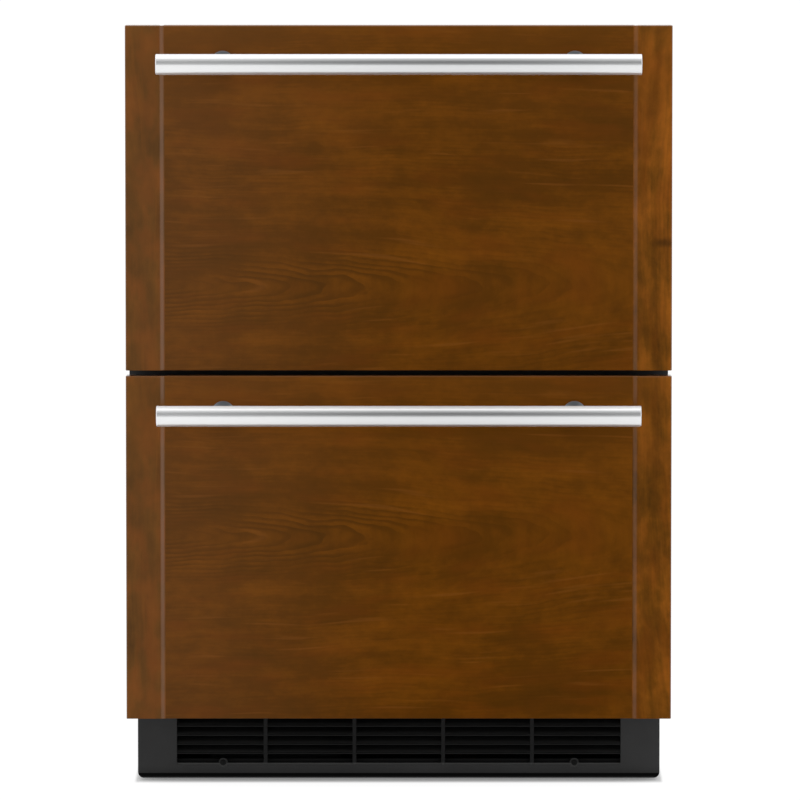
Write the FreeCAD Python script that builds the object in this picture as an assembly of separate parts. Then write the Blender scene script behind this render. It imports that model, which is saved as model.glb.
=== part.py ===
"""Under-counter freezer with two full-extension drawers.

An insulated steel cabinet stands on a narrower base tray with four levelling legs. Each drawer has an
insulated front behind a wooden overlay panel with a bar handle, a plastic bin, and ball-bearing slides
of three members. The machine bay under and behind the lower compartment holds the compressor, the
condenser and its fan, and breathes through the louvred kick plate.

The front faces -Y, +Z is up and X runs across. The origin is on the floor, under the middle of the
whole object's box. Lengths are in millimetres.
"""
import FreeCAD
import Part

import math
import os

V = FreeCAD.Vector
X_AXIS = V(1, 0, 0)
Y_AXIS = V(0, 1, 0)
Z_AXIS = V(0, 0, 1)
SIDES = (-1, 1)

# How near an edge lies to a plane for it to count as on that plane
PICK = 0.1
# How far a shape that joins or opens others runs past their faces
OVERRUN = 1.0

# Fits
SCREW_HOLE_EXTRA = 0.5

# Overlay panels
PANEL_W = 606.0
PANEL_H = 383.0
PANEL_T = 19.0
PANEL_GAP = 6.0
STILE_W = 43.5
STILE_BEVEL = 6.0
BOARD_RECESS = 1.5
EDGE_EASE = 1.5

# Bar handles
BAR_D = 23.0
BAR_L = 536.0
BAR_STANDOFF = 45.0
BAR_DROP = 41.0
BAR_EDGE = 0.8
POST_SPAN = 390.0
POST_D = 14.0
POST_FLANGE_D = 26.0
POST_FLANGE_T = 4.0
HANDLE_SCREW_D = 5.0
HANDLE_SCREW_HEAD_D = 9.0
HANDLE_SCREW_HEAD_T = 3.5
HANDLE_SCREW_GRIP = 14.0
HANDLE_THREAD_CLEAR = 0.08

# Drawer fronts
FRONT_T = 44.0
PAN_W = 600.0
PAN_DROP = 12.0
PAN_RISE = 2.0
PAN_TOP_CLEAR = 4.0
PAN_SHEET = 1.0
DYKE_H = 16.0
DYKE_MARGIN = 10.0
DYKE_ROUND = 6.0
GASKET_GAP = 10.0
GASKET_W = 14.0
GASKET_MARGIN = 3.0
GASKET_LIP = 3.0
GASKET_BULB_W = 9.0
GASKET_CLEAR = 0.3

# Cabinet
CAB_W = 602.0
CAB_D = 552.0
CAB_TOP_DROP = 31.0
SHEET = 1.0
WRAPPER_BEND = 2.0
FRAME_T = 1.2
SIDE_FOAM = 40.0
TOP_FOAM = 42.0
REAR_FOAM = 45.0
FLOOR_FOAM = 38.0
LINER_T = 2.0
LINER_ROUND = 12.0
BOND = 0.2
OPENING_INSET = 20.0

# Machine bay and base
KICK_H = 78.0
BAY_TOP = 86.0
HUMP_D = 190.0
HUMP_TOP = 258.0
BASE_INSET = 8.5
BASE_Z = 9.0
TRAY_T = 1.5
TRAY_FRONT_LIP = 14.0
TRAY_LIP_SETBACK = 8.0
TRAY_REAR_LIP = 40.0

# Kick plate and louvres
KICK_T = 1.2
KICK_CLEAR = 1.5
KICK_ROLL = 7.0
KICK_CORNER = 8.0
WINDOW_W = 498.0
WINDOW_SILL = 17.0
WINDOW_HEAD = 7.0
WINDOW_ROUND = 2.0
LOUVRE_START = 12.0
LOUVRE_PITCH = 10.25
LOUVRE_T = 1.8
LOUVRE_D = 14.0
LOUVRE_RISE = 8.0
LOUVRE_BAYS = 5
LOUVRE_RECESS = 0.4
RIB_W = 4.5
RIB_D = 8.0
GRILLE_FLANGE = 5.0
GRILLE_FLANGE_T = 2.0
KICK_SCREW_SPAN = 394.0
KICK_SCREW_RISE = 2.5
KICK_SCREW_D = 4.0
KICK_SCREW_HEAD_D = 6.6
KICK_SCREW_HEAD_T = 1.6
KICK_SCREW_L = 16.0
KICK_BOSS_D = 10.0
KICK_BOSS_RECESS = 2.0
KICK_NOTCH_D = 11.0

# Levelling legs
LEG_ROD_D = 10.0
LEG_ROD_TOP = 76.0
LEG_PAD_D = 36.0
LEG_PAD_T = 7.0
LEG_SOCKET_D = 22.0
LEG_SOCKET_H = 36.0
LEG_CLEAR = 0.08
LEG_INSET_X = 32.0
LEG_FRONT = 60.0
LEG_REAR = 30.0

# Drawer bins
BIN_T = 2.5
BIN_H = 245.0
BIN_FLOOR_GAP = 16.0
BIN_CORNER = 18.0
BIN_FLOOR_ROUND = 8.0
BIN_RIM_W = 7.0
BIN_RIM_T = 3.0
UPPER_BIN_GAP = 48.0
LOWER_BIN_GAP = 15.0

# Ball-bearing slides
SLIDE_H = 45.0
SLIDE_W = 12.7
SLIDE_T = 1.2
SLIDE_BEND = 2.0
SLIDE_RISE = 40.0
SLIDE_BALL_GAP = 3.4
SLIDE_BALL_CLEAR = 0.3
SLIDE_WEB_GAP = 1.2
SLIDE_SETBACK = 6.0
CAGE_T = 0.6
CAGE_MARGIN = 10.0
CAGE_LIP = 6.5
CAGE_BALLS = 4
UPPER_SLIDE_KEEP = 50.0
LOWER_SLIDE_KEEP = 40.0

# Counter brackets
BRACKET_SPAN = 400.0
BRACKET_W = 40.0
BRACKET_T = 1.5
BRACKET_RISE = 25.0
BRACKET_REACH = 26.0
BRACKET_SEAT = 40.0
BRACKET_CORNER = 8.0
BRACKET_HOLE_D = 5.2
BRACKET_HOLE_SETBACK = 12.0

# Cooling system
COMPRESSOR_L = 160.0
COMPRESSOR_W = 118.0
COMPRESSOR_H = 150.0
COMPRESSOR_ROUND = 26.0
COMPRESSOR_SEAM = 4.0
COMPRESSOR_SEAM_T = 5.0
SUCTION_PORT = 42.0
COMPRESSOR_FOOT_T = 3.0
COMPRESSOR_FOOT_L = 182.0
COMPRESSOR_FOOT_W = 96.0
MOUNT_BOSS_D = 18.0
MOUNT_BOSS_H = 8.0
MOUNT_SPAN_X = 158.0
MOUNT_SPAN_Y = 70.0
COND_FAN_SIZE = 120.0
COND_FAN_GAP = 29.0
CONDENSER_GAP = 55.0
COND_CORE_D = 50.0
COND_CORE_W = 100.0
COND_CORE_H = 150.0
COND_FINS = 13
COND_TUBES = 4
DRAIN_PAN_W = 90.0
DRAIN_PAN_D = 150.0
DRAIN_PAN_H = 30.0
DRAIN_PAN_GAP = 5.0
DRAIN_PAN_ROUND = 8.0
DRAIN_PAN_T = 2.0
EVAP_CORE_L = 300.0
EVAP_CORE_D = 70.0
EVAP_HEADROOM = 34.0
EVAP_GAP = 20.0
EVAP_FINS = 13
EVAP_TUBES = 4
FIN_T = 0.6
COIL_TUBE_D = 8.0
EVAP_FAN_MARGIN = 11.0
FAN_DEPTH = 25.0
FAN_WALL = 4.0
FAN_TIP_CLEAR = 2.0
FAN_HUB_D = 40.0
FAN_MOTOR_D = 36.0
FAN_MOTOR_T = 10.0
FAN_STRUT_W = 6.0
FAN_STRUT_T = 3.0
FAN_SHAFT_D = 4.0
FAN_SHAFT_CLEAR = 0.08
FAN_AXIAL_GAP = 0.5
FAN_BLADES = 5
FAN_BLADE_T = 1.6
FAN_ROOT_CHORD = 16.0
FAN_ROOT_PITCH = 42.0
FAN_TIP_CHORD = 30.0
FAN_TIP_PITCH = 24.0
COVER_T = 3.0
COVER_CLEAR = 0.5
COVER_SLOT_W = 90.0
COVER_SLOT_H = 6.0
COVER_SLOTS = 5
COVER_SLOT_PITCH = 15.0
AIR_WAY_W = 140.0
AIR_WAY_D = 24.0
AIR_WAY_SETBACK = 14.0
LINE_D = 7.0
LINE_BEND = 16.0
LINE_CLEAR = 0.5

# Electrics
CONTROL_BOX_L = 150.0
CONTROL_BOX_D = 120.0
CONTROL_BOX_H = 46.0
CONTROL_BOX_ROUND = 5.0
CONTROL_BOX_INSET = 152.5
CONTROL_BOX_Y = 60.0
CONTROL_PANEL_W = 240.0
CONTROL_PANEL_D = 40.0
CONTROL_PANEL_T = 10.0
CONTROL_PANEL_SLOPE = 5.0
CONTROL_PANEL_SETBACK = 8.0
LAMP_W = 180.0
LAMP_D = 20.0
LAMP_T = 5.0
LAMP_SETBACK = 80.0
COVER_INSET = 6.0
GLAND_BORE_D = 8.4
GLAND_BODY_D = 14.0
GLAND_FLANGE_D = 24.0
GLAND_FLANGE_T = 3.0
GLAND_L = 14.0
GLAND_CLEAR = 0.08
GLAND_INSET = 62.5
GLAND_Z = 60.0
VENT_SLOTS = 6
VENT_SLOT_W = 90.0
VENT_SLOT_H = 5.0
VENT_PITCH = 14.0
VENT_X = 120.0

# Planes from front to rear
OVERALL_D = BAR_D / 2 + BAR_STANDOFF - BOARD_RECESS + PANEL_T + FRONT_T + GASKET_GAP + CAB_D
BAR_Y = -OVERALL_D / 2 + BAR_D / 2
BOARD_Y = BAR_Y + BAR_STANDOFF
PANEL_FACE_Y = BOARD_Y - BOARD_RECESS
PANEL_BACK_Y = PANEL_FACE_Y + PANEL_T
FRONT_BACK_Y = PANEL_BACK_Y + FRONT_T
DYKE_Y = FRONT_BACK_Y + DYKE_H
CAB_FRONT_Y = FRONT_BACK_Y + GASKET_GAP
LINER_FRONT_Y = CAB_FRONT_Y + FRAME_T
CAB_REAR_Y = CAB_FRONT_Y + CAB_D
LINER_REAR_Y = CAB_REAR_Y - SHEET - REAR_FOAM - LINER_T
HUMP_Y = CAB_REAR_Y - HUMP_D
BAY_Y = HUMP_Y + HUMP_D / 2
LOWER_BACK_Y = HUMP_Y - SHEET - FLOOR_FOAM - LINER_T
SUCTION_Y = LINER_REAR_Y - EVAP_GAP - EVAP_CORE_D / 2
BIN_Y = DYKE_Y
SLIDE_Y = LINER_FRONT_Y + SLIDE_SETBACK
UPPER_BIN_D = LINER_REAR_Y - UPPER_BIN_GAP - BIN_Y
LOWER_BIN_D = LOWER_BACK_Y - LOWER_BIN_GAP - BIN_Y
UPPER_TRAVEL = UPPER_BIN_D - UPPER_SLIDE_KEEP
LOWER_TRAVEL = LOWER_BIN_D - LOWER_SLIDE_KEEP

# Levels from the floor up
LOWER_Z = KICK_H
UPPER_Z = KICK_H + PANEL_H + PANEL_GAP
OVERALL_H = UPPER_Z + PANEL_H
CAB_TOP = OVERALL_H - CAB_TOP_DROP
UPPER_CEILING = CAB_TOP - SHEET - TOP_FOAM - LINER_T
UPPER_FLOOR = UPPER_Z + PAN_RISE + OPENING_INSET
LOWER_CEILING = LOWER_Z + PANEL_H - PAN_DROP - OPENING_INSET
LOWER_FLOOR = BAY_TOP + FLOOR_FOAM + LINER_T
NICHE_FLOOR = HUMP_TOP + SHEET + FLOOR_FOAM + LINER_T
NICHE_MIDDLE = (NICHE_FLOOR + LOWER_CEILING) / 2
EVAP_CORE_H = LOWER_CEILING - NICHE_FLOOR - EVAP_HEADROOM
EVAP_FAN_SIZE = LOWER_CEILING - NICHE_FLOOR - 2 * EVAP_FAN_MARGIN
TRAY_FLOOR = BASE_Z + TRAY_T
TRAY_TOP = BAY_TOP - SHEET
WINDOW_TOP = TRAY_TOP - WINDOW_HEAD

# Places across
LINER_HALF = CAB_W / 2 - SHEET - SIDE_FOAM - LINER_T
BIN_HALF = LINER_HALF - SLIDE_W
BASE_HALF = CAB_W / 2 - BASE_INSET
SUCTION_X = -EVAP_CORE_L / 2 - 2 * LINE_BEND
COMPRESSOR_X = SUCTION_X + SUCTION_PORT
COND_FAN_X = COMPRESSOR_X + COMPRESSOR_FOOT_L / 2 + COND_FAN_GAP
CONDENSER_X = COND_FAN_X + FAN_DEPTH + CONDENSER_GAP
DRAIN_PAN_X = CONDENSER_X + COND_CORE_D + DRAIN_PAN_GAP + DRAIN_PAN_W / 2
CONTROL_BOX_X = CONTROL_BOX_INSET - BASE_HALF
GLAND_X = BASE_HALF - GLAND_INSET


# Shared shapes
def box(x, y, z):
    """A block between two values along each axis."""
    return Part.makeBox(x[1] - x[0], y[1] - y[0], z[1] - z[0], V(x[0], y[0], z[0]))


def rod(start, axis, diameter, length):
    return Part.makeCylinder(diameter / 2, length, start, axis)


def edges_along(shape, axis):
    """The straight edges of a shape that run along one axis."""
    found = []
    for edge in shape.Edges:
        if isinstance(edge.Curve, Part.Line) and abs(edge.tangentAt(edge.FirstParameter).dot(axis)) > 0.999:
            found.append(edge)
    return found


def rounded_box(x, y, z, axis, radius):
    """A block whose four edges along one axis are rounded."""
    block = box(x, y, z)
    return block.makeFillet(radius, edges_along(block, axis))


def extrude(points, vector):
    """A prism from a closed outline of straight sides."""
    return Part.Face(Part.makePolygon([*points, points[0]])).extrude(vector)


def fuse(shapes):
    first, *rest = shapes
    return first.multiFuse(rest).removeSplitter() if rest else first


def cut(shape, tools):
    return shape.cut(tools) if tools else shape


def mirrored(shape):
    return shape.mirror(V(0, 0, 0), X_AXIS)


def pair(shape):
    """The shape on the right and its mirror image on the left."""
    return Part.makeCompound([shape, mirrored(shape)])


# Overlay panels and handles
def bar_z(z):
    return z + PANEL_H - BAR_DROP


def post_holes(z):
    """Clearance holes for the handle screws, with counterbores for their heads at the panel's back."""
    holes = []
    for side in SIDES:
        start = V(side * POST_SPAN / 2, BOARD_Y, bar_z(z))
        depth = PANEL_BACK_Y - BOARD_Y
        holes.append(rod(start, Y_AXIS, HANDLE_SCREW_D + SCREW_HOLE_EXTRA, depth))
        sink = HANDLE_SCREW_HEAD_T + SCREW_HOLE_EXTRA
        seat = V(start.x, PANEL_BACK_Y - sink, start.z)
        holes.append(rod(seat, Y_AXIS, HANDLE_SCREW_HEAD_D + SCREW_HOLE_EXTRA, sink))
    return holes


def panel_board(z):
    half = PANEL_W / 2 - STILE_W
    board = box((-half, half), (BOARD_Y, PANEL_BACK_Y), (z, z + PANEL_H))
    front = [e for e in edges_along(board, X_AXIS) if e.CenterOfMass.y < BOARD_Y + PICK]
    return cut(board.makeFillet(EDGE_EASE, front), post_holes(z))


def panel_stiles(z):
    """Edge boards with a long bevel down to the face of the centre board."""
    inner = PANEL_W / 2 - STILE_W
    outer = PANEL_W / 2
    outline = [
        V(inner, BOARD_Y, z),
        V(inner + STILE_BEVEL, PANEL_FACE_Y, z),
        V(outer, PANEL_FACE_Y, z),
        V(outer, PANEL_BACK_Y, z),
        V(inner, PANEL_BACK_Y, z),
    ]
    stile = extrude(outline, V(0, 0, PANEL_H))
    eased = [e for e in edges_along(stile, Z_AXIS) if e.CenterOfMass.x > outer - PICK]
    eased = [e for e in eased if e.CenterOfMass.y < PANEL_FACE_Y + PICK]
    return pair(stile.makeFillet(EDGE_EASE, eased))


def handle_bar(z):
    bar = rod(V(-BAR_L / 2, BAR_Y, bar_z(z)), X_AXIS, BAR_D, BAR_L)
    ends = [e for e in bar.Edges if isinstance(e.Curve, Part.Circle)]
    return bar.makeChamfer(BAR_EDGE, ends)


def handle_posts(z):
    """Round posts with a flange on the board and a saddle against the bar."""
    start = V(POST_SPAN / 2, BOARD_Y, bar_z(z))
    flange = rod(start, -Y_AXIS, POST_FLANGE_D, POST_FLANGE_T)
    rim = [e for e in flange.Edges if e.CenterOfMass.y < BOARD_Y - POST_FLANGE_T + PICK]
    flange = flange.makeFillet(POST_FLANGE_T / 2, rim)
    stem = rod(start, -Y_AXIS, POST_D, BAR_STANDOFF)
    saddle = rod(V(0, BAR_Y, bar_z(z)), X_AXIS, BAR_D, POST_SPAN)
    thread_d = HANDLE_SCREW_D + 2 * HANDLE_THREAD_CLEAR
    thread = rod(start, -Y_AXIS, thread_d, HANDLE_SCREW_GRIP + SCREW_HOLE_EXTRA)
    return pair(cut(fuse([flange, stem]), [saddle, thread]))


def handle_screws(z):
    seat = PANEL_BACK_Y - HANDLE_SCREW_HEAD_T - SCREW_HOLE_EXTRA
    start = V(POST_SPAN / 2, seat, bar_z(z))
    head = rod(start, Y_AXIS, HANDLE_SCREW_HEAD_D, HANDLE_SCREW_HEAD_T)
    shank = rod(start, -Y_AXIS, HANDLE_SCREW_D, seat - BOARD_Y + HANDLE_SCREW_GRIP)
    return pair(fuse([head, shank]))


# Drawer fronts
def pan_levels(z):
    """A pan's bottom and top, kept under the cabinet's top."""
    return z + PAN_RISE, min(z + PANEL_H - PAN_DROP, CAB_TOP - PAN_TOP_CLEAR)


def front_pan(z):
    """Folded steel pan, open at the rear, that carries the wooden panel."""
    low, high = pan_levels(z)
    rear = FRONT_BACK_Y - LINER_T
    half = PAN_W / 2
    outer = box((-half, half), (PANEL_BACK_Y, rear), (low, high))
    room = half - PAN_SHEET
    inner = box((-room, room), (PANEL_BACK_Y + PAN_SHEET, rear), (low + PAN_SHEET, high - PAN_SHEET))
    return outer.cut(inner)


def dyke(floor, ceiling, shrink):
    """The raised middle of a drawer front's inner face, shrunk all round for its hollow."""
    half = LINER_HALF - DYKE_MARGIN - shrink
    low = floor + DYKE_MARGIN + shrink
    high = ceiling - DYKE_MARGIN - shrink
    block = box((-half, half), (FRONT_BACK_Y - LINER_T, DYKE_Y - shrink), (low, high))
    soft = edges_along(block, Y_AXIS)
    soft += [e for e in block.Edges if e.CenterOfMass.y > DYKE_Y - shrink - PICK]
    return block.makeFillet(DYKE_ROUND - shrink, soft)


def front_liner(z, floor, ceiling):
    """Thin plastic back of a drawer front, with its dyke."""
    low, high = pan_levels(z)
    plate = box((-PAN_W / 2, PAN_W / 2), (FRONT_BACK_Y - LINER_T, FRONT_BACK_Y), (low, high))
    return fuse([plate, dyke(floor, ceiling, 0)]).cut(dyke(floor, ceiling, LINER_T))


def front_foam(z, floor, ceiling):
    low, high = pan_levels(z)
    half = PAN_W / 2 - PAN_SHEET - BOND
    fill_y = (PANEL_BACK_Y + PAN_SHEET + BOND, FRONT_BACK_Y - LINER_T - BOND)
    gap = PAN_SHEET + BOND
    fill = box((-half, half), fill_y, (low + gap, high - gap))
    bump = dyke(floor, ceiling, LINER_T + BOND)
    join = bump.BoundBox
    neck_x = (join.XMin + DYKE_ROUND, join.XMax - DYKE_ROUND)
    neck_z = (join.ZMin + DYKE_ROUND, join.ZMax - DYKE_ROUND)
    neck = box(neck_x, (fill_y[1] - OVERRUN, join.YMin + OVERRUN), neck_z)
    return fuse([fill, neck, bump])


def gasket(floor, ceiling):
    """Magnetic seal: a flat root on the drawer front and a rounded bulb that meets the cabinet's face."""
    seal_y = CAB_FRONT_Y - GASKET_CLEAR

    def ring(width, inset, y):
        grow = GASKET_MARGIN + inset
        half = LINER_HALF + grow
        low, high = floor - grow, ceiling + grow
        outer_x = (-half - width, half + width)
        outer = rounded_box(outer_x, y, (low - width, high + width), Y_AXIS, GASKET_W)
        return outer.cut(box((-half, half), y, (low, high)))

    side = (GASKET_W - GASKET_BULB_W) / 2
    root = ring(GASKET_W, 0, (FRONT_BACK_Y, FRONT_BACK_Y + GASKET_LIP))
    bulb = ring(GASKET_BULB_W, side, (FRONT_BACK_Y + GASKET_LIP, seal_y))
    return fuse([root, bulb])


# Drawer bins and slides
def bin_levels(floor):
    return floor + BIN_FLOOR_GAP, floor + BIN_FLOOR_GAP + BIN_H


def drawer_bin(floor, depth):
    """Moulded tub, screwed to the drawer front and carried by the inner slide members."""
    low, high = bin_levels(floor)

    def tub(shrink, top):
        half = BIN_HALF - shrink
        y = (BIN_Y + shrink, BIN_Y + depth - shrink)
        block = rounded_box((-half, half), y, (low + shrink, top), Z_AXIS, BIN_CORNER - shrink)
        rim = [e for e in block.Edges if abs(e.CenterOfMass.z - low - shrink) < PICK]
        return block.makeFillet(BIN_FLOOR_ROUND - shrink, rim)

    lip_half = BIN_HALF + BIN_RIM_W
    lip_y = (BIN_Y, BIN_Y + depth)
    lip = rounded_box((-lip_half, lip_half), lip_y, (high - BIN_RIM_T, high), Z_AXIS, BIN_CORNER)
    return fuse([tub(0, high), lip]).cut(tub(BIN_T, high + BIN_RIM_T))


def channel(height, web_u, lip_u, y, z):
    """A rolled C-section member on the right side. web_u and lip_u are distances in from the liner's wall:
    the web's outer face, and the lips' free ends."""
    inward = 1 if lip_u > web_u else -1

    def rolled(shrink):
        web_x = LINER_HALF - web_u - inward * shrink
        half = height / 2 - shrink
        block = box(sorted((web_x, LINER_HALF - lip_u)), y, (z - half, z + half))
        bends = [e for e in edges_along(block, Y_AXIS) if abs(e.CenterOfMass.x - web_x) < PICK]
        return block.makeFillet(SLIDE_BEND - shrink, bends)

    return rolled(0).cut(rolled(SLIDE_T))


def nested(height):
    """The height of the member that runs inside one of this height, with balls between."""
    return height - 2 * SLIDE_T - 2 * SLIDE_BALL_GAP


def slide_members(floor, length):
    """Outer, middle and inner members of the right-hand slide, closed."""
    y = (SLIDE_Y, SLIDE_Y + length)
    z = floor + BIN_FLOOR_GAP + SLIDE_RISE
    middle_u = SLIDE_T + SLIDE_WEB_GAP
    inner_lip_u = middle_u + SLIDE_T + SLIDE_WEB_GAP
    lip_u = SLIDE_W - SLIDE_T - BOND
    outer = channel(SLIDE_H, 0, lip_u, y, z)
    middle = channel(nested(SLIDE_H), middle_u, lip_u, y, z)
    inner = channel(nested(nested(SLIDE_H)), SLIDE_W, inner_lip_u, y, z)
    return outer, middle, inner


def ball_cage(floor, length, travel, stage):
    """A U-shaped strip that carries the balls between two members. It rolls half as far as they move
    apart, so it is shorter than they are by half the drawer's travel."""
    outer_height = SLIDE_H if stage == "outer" else nested(SLIDE_H)
    web_u = SLIDE_T if stage == "outer" else 2 * SLIDE_T + SLIDE_WEB_GAP
    z = floor + BIN_FLOOR_GAP + SLIDE_RISE
    start = SLIDE_Y + travel / 4 + CAGE_MARGIN
    end = start + length - travel / 2 - 2 * CAGE_MARGIN
    near = LINER_HALF - web_u - (SLIDE_WEB_GAP - CAGE_T) / 2
    row = outer_height / 2 - SLIDE_T - SLIDE_BALL_GAP / 2
    web = box((near - CAGE_T, near), (start, end), (z - row, z + row))
    parts = [web]
    ball_r = SLIDE_BALL_GAP / 2 - SLIDE_BALL_CLEAR
    step = (end - start - 2 * CAGE_MARGIN) / (CAGE_BALLS - 1)
    for side in SIDES:
        level = z + side * row
        lip = (level - CAGE_T / 2, level + CAGE_T / 2)
        parts.append(box((near - CAGE_LIP, near), (start, end), lip))
        for ball in range(CAGE_BALLS):
            centre = V(near - CAGE_LIP / 2, start + CAGE_MARGIN + ball * step, level)
            parts.append(Part.makeSphere(ball_r, centre))
    return pair(fuse(parts))


# Cabinet
def compartment(floor, ceiling, rear, grow):
    """A compartment's inside, open past the front, grown all round for its liner."""
    half = LINER_HALF + grow
    y = (LINER_FRONT_Y - (0 if grow else OVERRUN), rear + grow)
    return rounded_box((-half, half), y, (floor - grow, ceiling + grow), Y_AXIS, LINER_ROUND + grow)


def upper_room(grow):
    return compartment(UPPER_FLOOR, UPPER_CEILING, LINER_REAR_Y, grow)


def lower_room(grow):
    """The lower compartment, with the evaporator's niche over the machine bay's hump."""
    room = compartment(LOWER_FLOOR, LOWER_CEILING, LOWER_BACK_Y, grow)
    return fuse([room, compartment(NICHE_FLOOR, LOWER_CEILING, LINER_REAR_Y, grow)])


def air_way(grow):
    """The passage that carries cold air from the niche up through the divider."""
    half = AIR_WAY_W / 2 + grow
    rear = LINER_REAR_Y - AIR_WAY_SETBACK + grow
    y = (rear - AIR_WAY_D - 2 * grow, rear)
    return box((-half, half), y, (LOWER_CEILING - LINER_T, UPPER_FLOOR + LINER_T))


def suction_hole():
    """The hole for the suction line between the machine bay and the evaporator's niche."""
    start = V(SUCTION_X, SUCTION_Y, HUMP_TOP - SHEET)
    return rod(start, Z_AXIS, LINE_D + 2 * LINE_CLEAR, NICHE_FLOOR - HUMP_TOP + 2 * SHEET)


def upper_liner():
    return cut(upper_room(LINER_T), [upper_room(0), air_way(0)])


def lower_liner():
    return cut(lower_room(LINER_T), [lower_room(0), air_way(0), suction_hole()])


def cabinet_foam():
    """Rigid foam between the liners and the outer sheets, with room for the machine bay's hump."""
    half = CAB_W / 2 - SHEET - BOND
    y = (LINER_FRONT_Y + BOND, CAB_REAR_Y - SHEET - BOND)
    block = box((-half, half), y, (BAY_TOP + BOND, CAB_TOP - SHEET - BOND))
    hump_y = (HUMP_Y - SHEET - BOND, CAB_REAR_Y)
    hump = box((-half, half), hump_y, (BAY_TOP, HUMP_TOP + SHEET + BOND))
    skin = LINER_T + BOND
    return cut(block, [hump, upper_room(skin), lower_room(skin), air_way(BOND), suction_hole()])


def outer_wrapper():
    """One sheet folded over the sides and the top."""
    half = CAB_W / 2
    y = (LINER_FRONT_Y, CAB_REAR_Y)
    outer = box((-half, half), y, (TRAY_TOP, CAB_TOP))
    bends = [e for e in edges_along(outer, Y_AXIS) if e.CenterOfMass.z > CAB_TOP - PICK]
    inner = box((SHEET - half, half - SHEET), y, (TRAY_TOP, CAB_TOP - SHEET))
    return outer.makeFillet(WRAPPER_BEND, bends).cut(inner)


def front_frame():
    """The steel face that both gaskets seal on."""
    half = CAB_W / 2
    y = (CAB_FRONT_Y, LINER_FRONT_Y)
    face = box((-half, half), y, (BAY_TOP, CAB_TOP))
    windows = []
    for floor, ceiling in ((LOWER_FLOOR, LOWER_CEILING), (UPPER_FLOOR, UPPER_CEILING)):
        windows.append(rounded_box((-LINER_HALF, LINER_HALF), y, (floor, ceiling), Y_AXIS, LINER_ROUND))
    return cut(face, windows)


def rear_panel():
    half = CAB_W / 2 - SHEET
    return box((-half, half), (CAB_REAR_Y - SHEET, CAB_REAR_Y), (HUMP_TOP + SHEET, CAB_TOP - SHEET))


def bay_liner():
    """Folded sheet under the foam: the bay's ceiling, the hump's front and the hump's roof."""
    half = CAB_W / 2 - SHEET
    outline = [
        V(-half, LINER_FRONT_Y, BAY_TOP - SHEET),
        V(-half, HUMP_Y, BAY_TOP - SHEET),
        V(-half, HUMP_Y, HUMP_TOP),
        V(-half, CAB_REAR_Y - SHEET, HUMP_TOP),
        V(-half, CAB_REAR_Y - SHEET, HUMP_TOP + SHEET),
        V(-half, HUMP_Y - SHEET, HUMP_TOP + SHEET),
        V(-half, HUMP_Y - SHEET, BAY_TOP),
        V(-half, LINER_FRONT_Y, BAY_TOP),
    ]
    return extrude(outline, V(2 * half, 0, 0)).cut(suction_hole())


# Base
def leg_places():
    """Leg name to its axis on the floor."""
    x = BASE_HALF - LEG_INSET_X
    front, rear = CAB_FRONT_Y + LEG_FRONT, CAB_REAR_Y - LEG_REAR
    return {
        "front_left": V(-x, front, 0),
        "front_right": V(x, front, 0),
        "rear_left": V(-x, rear, 0),
        "rear_right": V(x, rear, 0),
    }


def mount_places():
    """The four compressor bosses, on the tray's floor."""
    places = []
    for side_x in SIDES:
        for side_y in SIDES:
            x = COMPRESSOR_X + side_x * MOUNT_SPAN_X / 2
            places.append(V(x, BAY_Y + side_y * MOUNT_SPAN_Y / 2, TRAY_FLOOR))
    return places


def base_tray():
    """Folded tray with welded leg sockets and bosses for the compressor's foot plate."""
    rear = CAB_REAR_Y - COVER_INSET - SHEET
    front = LINER_FRONT_Y
    x = (-BASE_HALF, BASE_HALF)
    parts = [box(x, (front, rear), (BASE_Z, TRAY_FLOOR))]
    lip_y = (tray_lip_y(), tray_lip_y() + TRAY_T)
    parts.append(box(x, lip_y, (BASE_Z, BASE_Z + TRAY_FRONT_LIP)))
    parts.append(box(x, (rear - TRAY_T, rear), (BASE_Z, BASE_Z + TRAY_REAR_LIP)))
    for side in SIDES:
        wall = sorted((side * BASE_HALF, side * (BASE_HALF - TRAY_T)))
        parts.append(box(wall, (front, rear), (BASE_Z, TRAY_TOP)))
        ledge = sorted((side * (BASE_HALF - TRAY_T), side * CAB_W / 2))
        parts.append(box(ledge, (front, rear), (TRAY_TOP - TRAY_T, TRAY_TOP)))
    bores = []
    for place in leg_places().values():
        start = place + V(0, 0, BASE_Z)
        parts.append(rod(start, Z_AXIS, LEG_SOCKET_D, LEG_SOCKET_H))
        bores.append(rod(start, Z_AXIS, LEG_ROD_D + 2 * LEG_CLEAR, LEG_SOCKET_H))
    for place in mount_places():
        parts.append(rod(place, Z_AXIS, MOUNT_BOSS_D, MOUNT_BOSS_H))
    for screw in kick_screw_places():
        bores.append(rod(screw, Y_AXIS, KICK_SCREW_D + SCREW_HOLE_EXTRA, KICK_SCREW_L))
    return cut(fuse(parts), bores)


def tray_lip_y():
    return LINER_FRONT_Y + TRAY_LIP_SETBACK


def levelling_leg(place):
    """Threaded stem on a round pad, turned up and down in its socket."""
    pad = rod(place, Z_AXIS, LEG_PAD_D, LEG_PAD_T)
    pad = pad.makeChamfer(LEG_PAD_T / 4, [e for e in pad.Edges if isinstance(e.Curve, Part.Circle)])
    stem = rod(place + V(0, 0, LEG_PAD_T), Z_AXIS, LEG_ROD_D, LEG_ROD_TOP - LEG_PAD_T)
    return fuse([pad, stem])


def kick_screw_places():
    """Where the louvre insert's screws seat on their bosses."""
    z = WINDOW_SILL + KICK_SCREW_RISE
    y = CAB_FRONT_Y + KICK_BOSS_RECESS
    return [V(side * KICK_SCREW_SPAN / 2, y, z) for side in SIDES]


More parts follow.
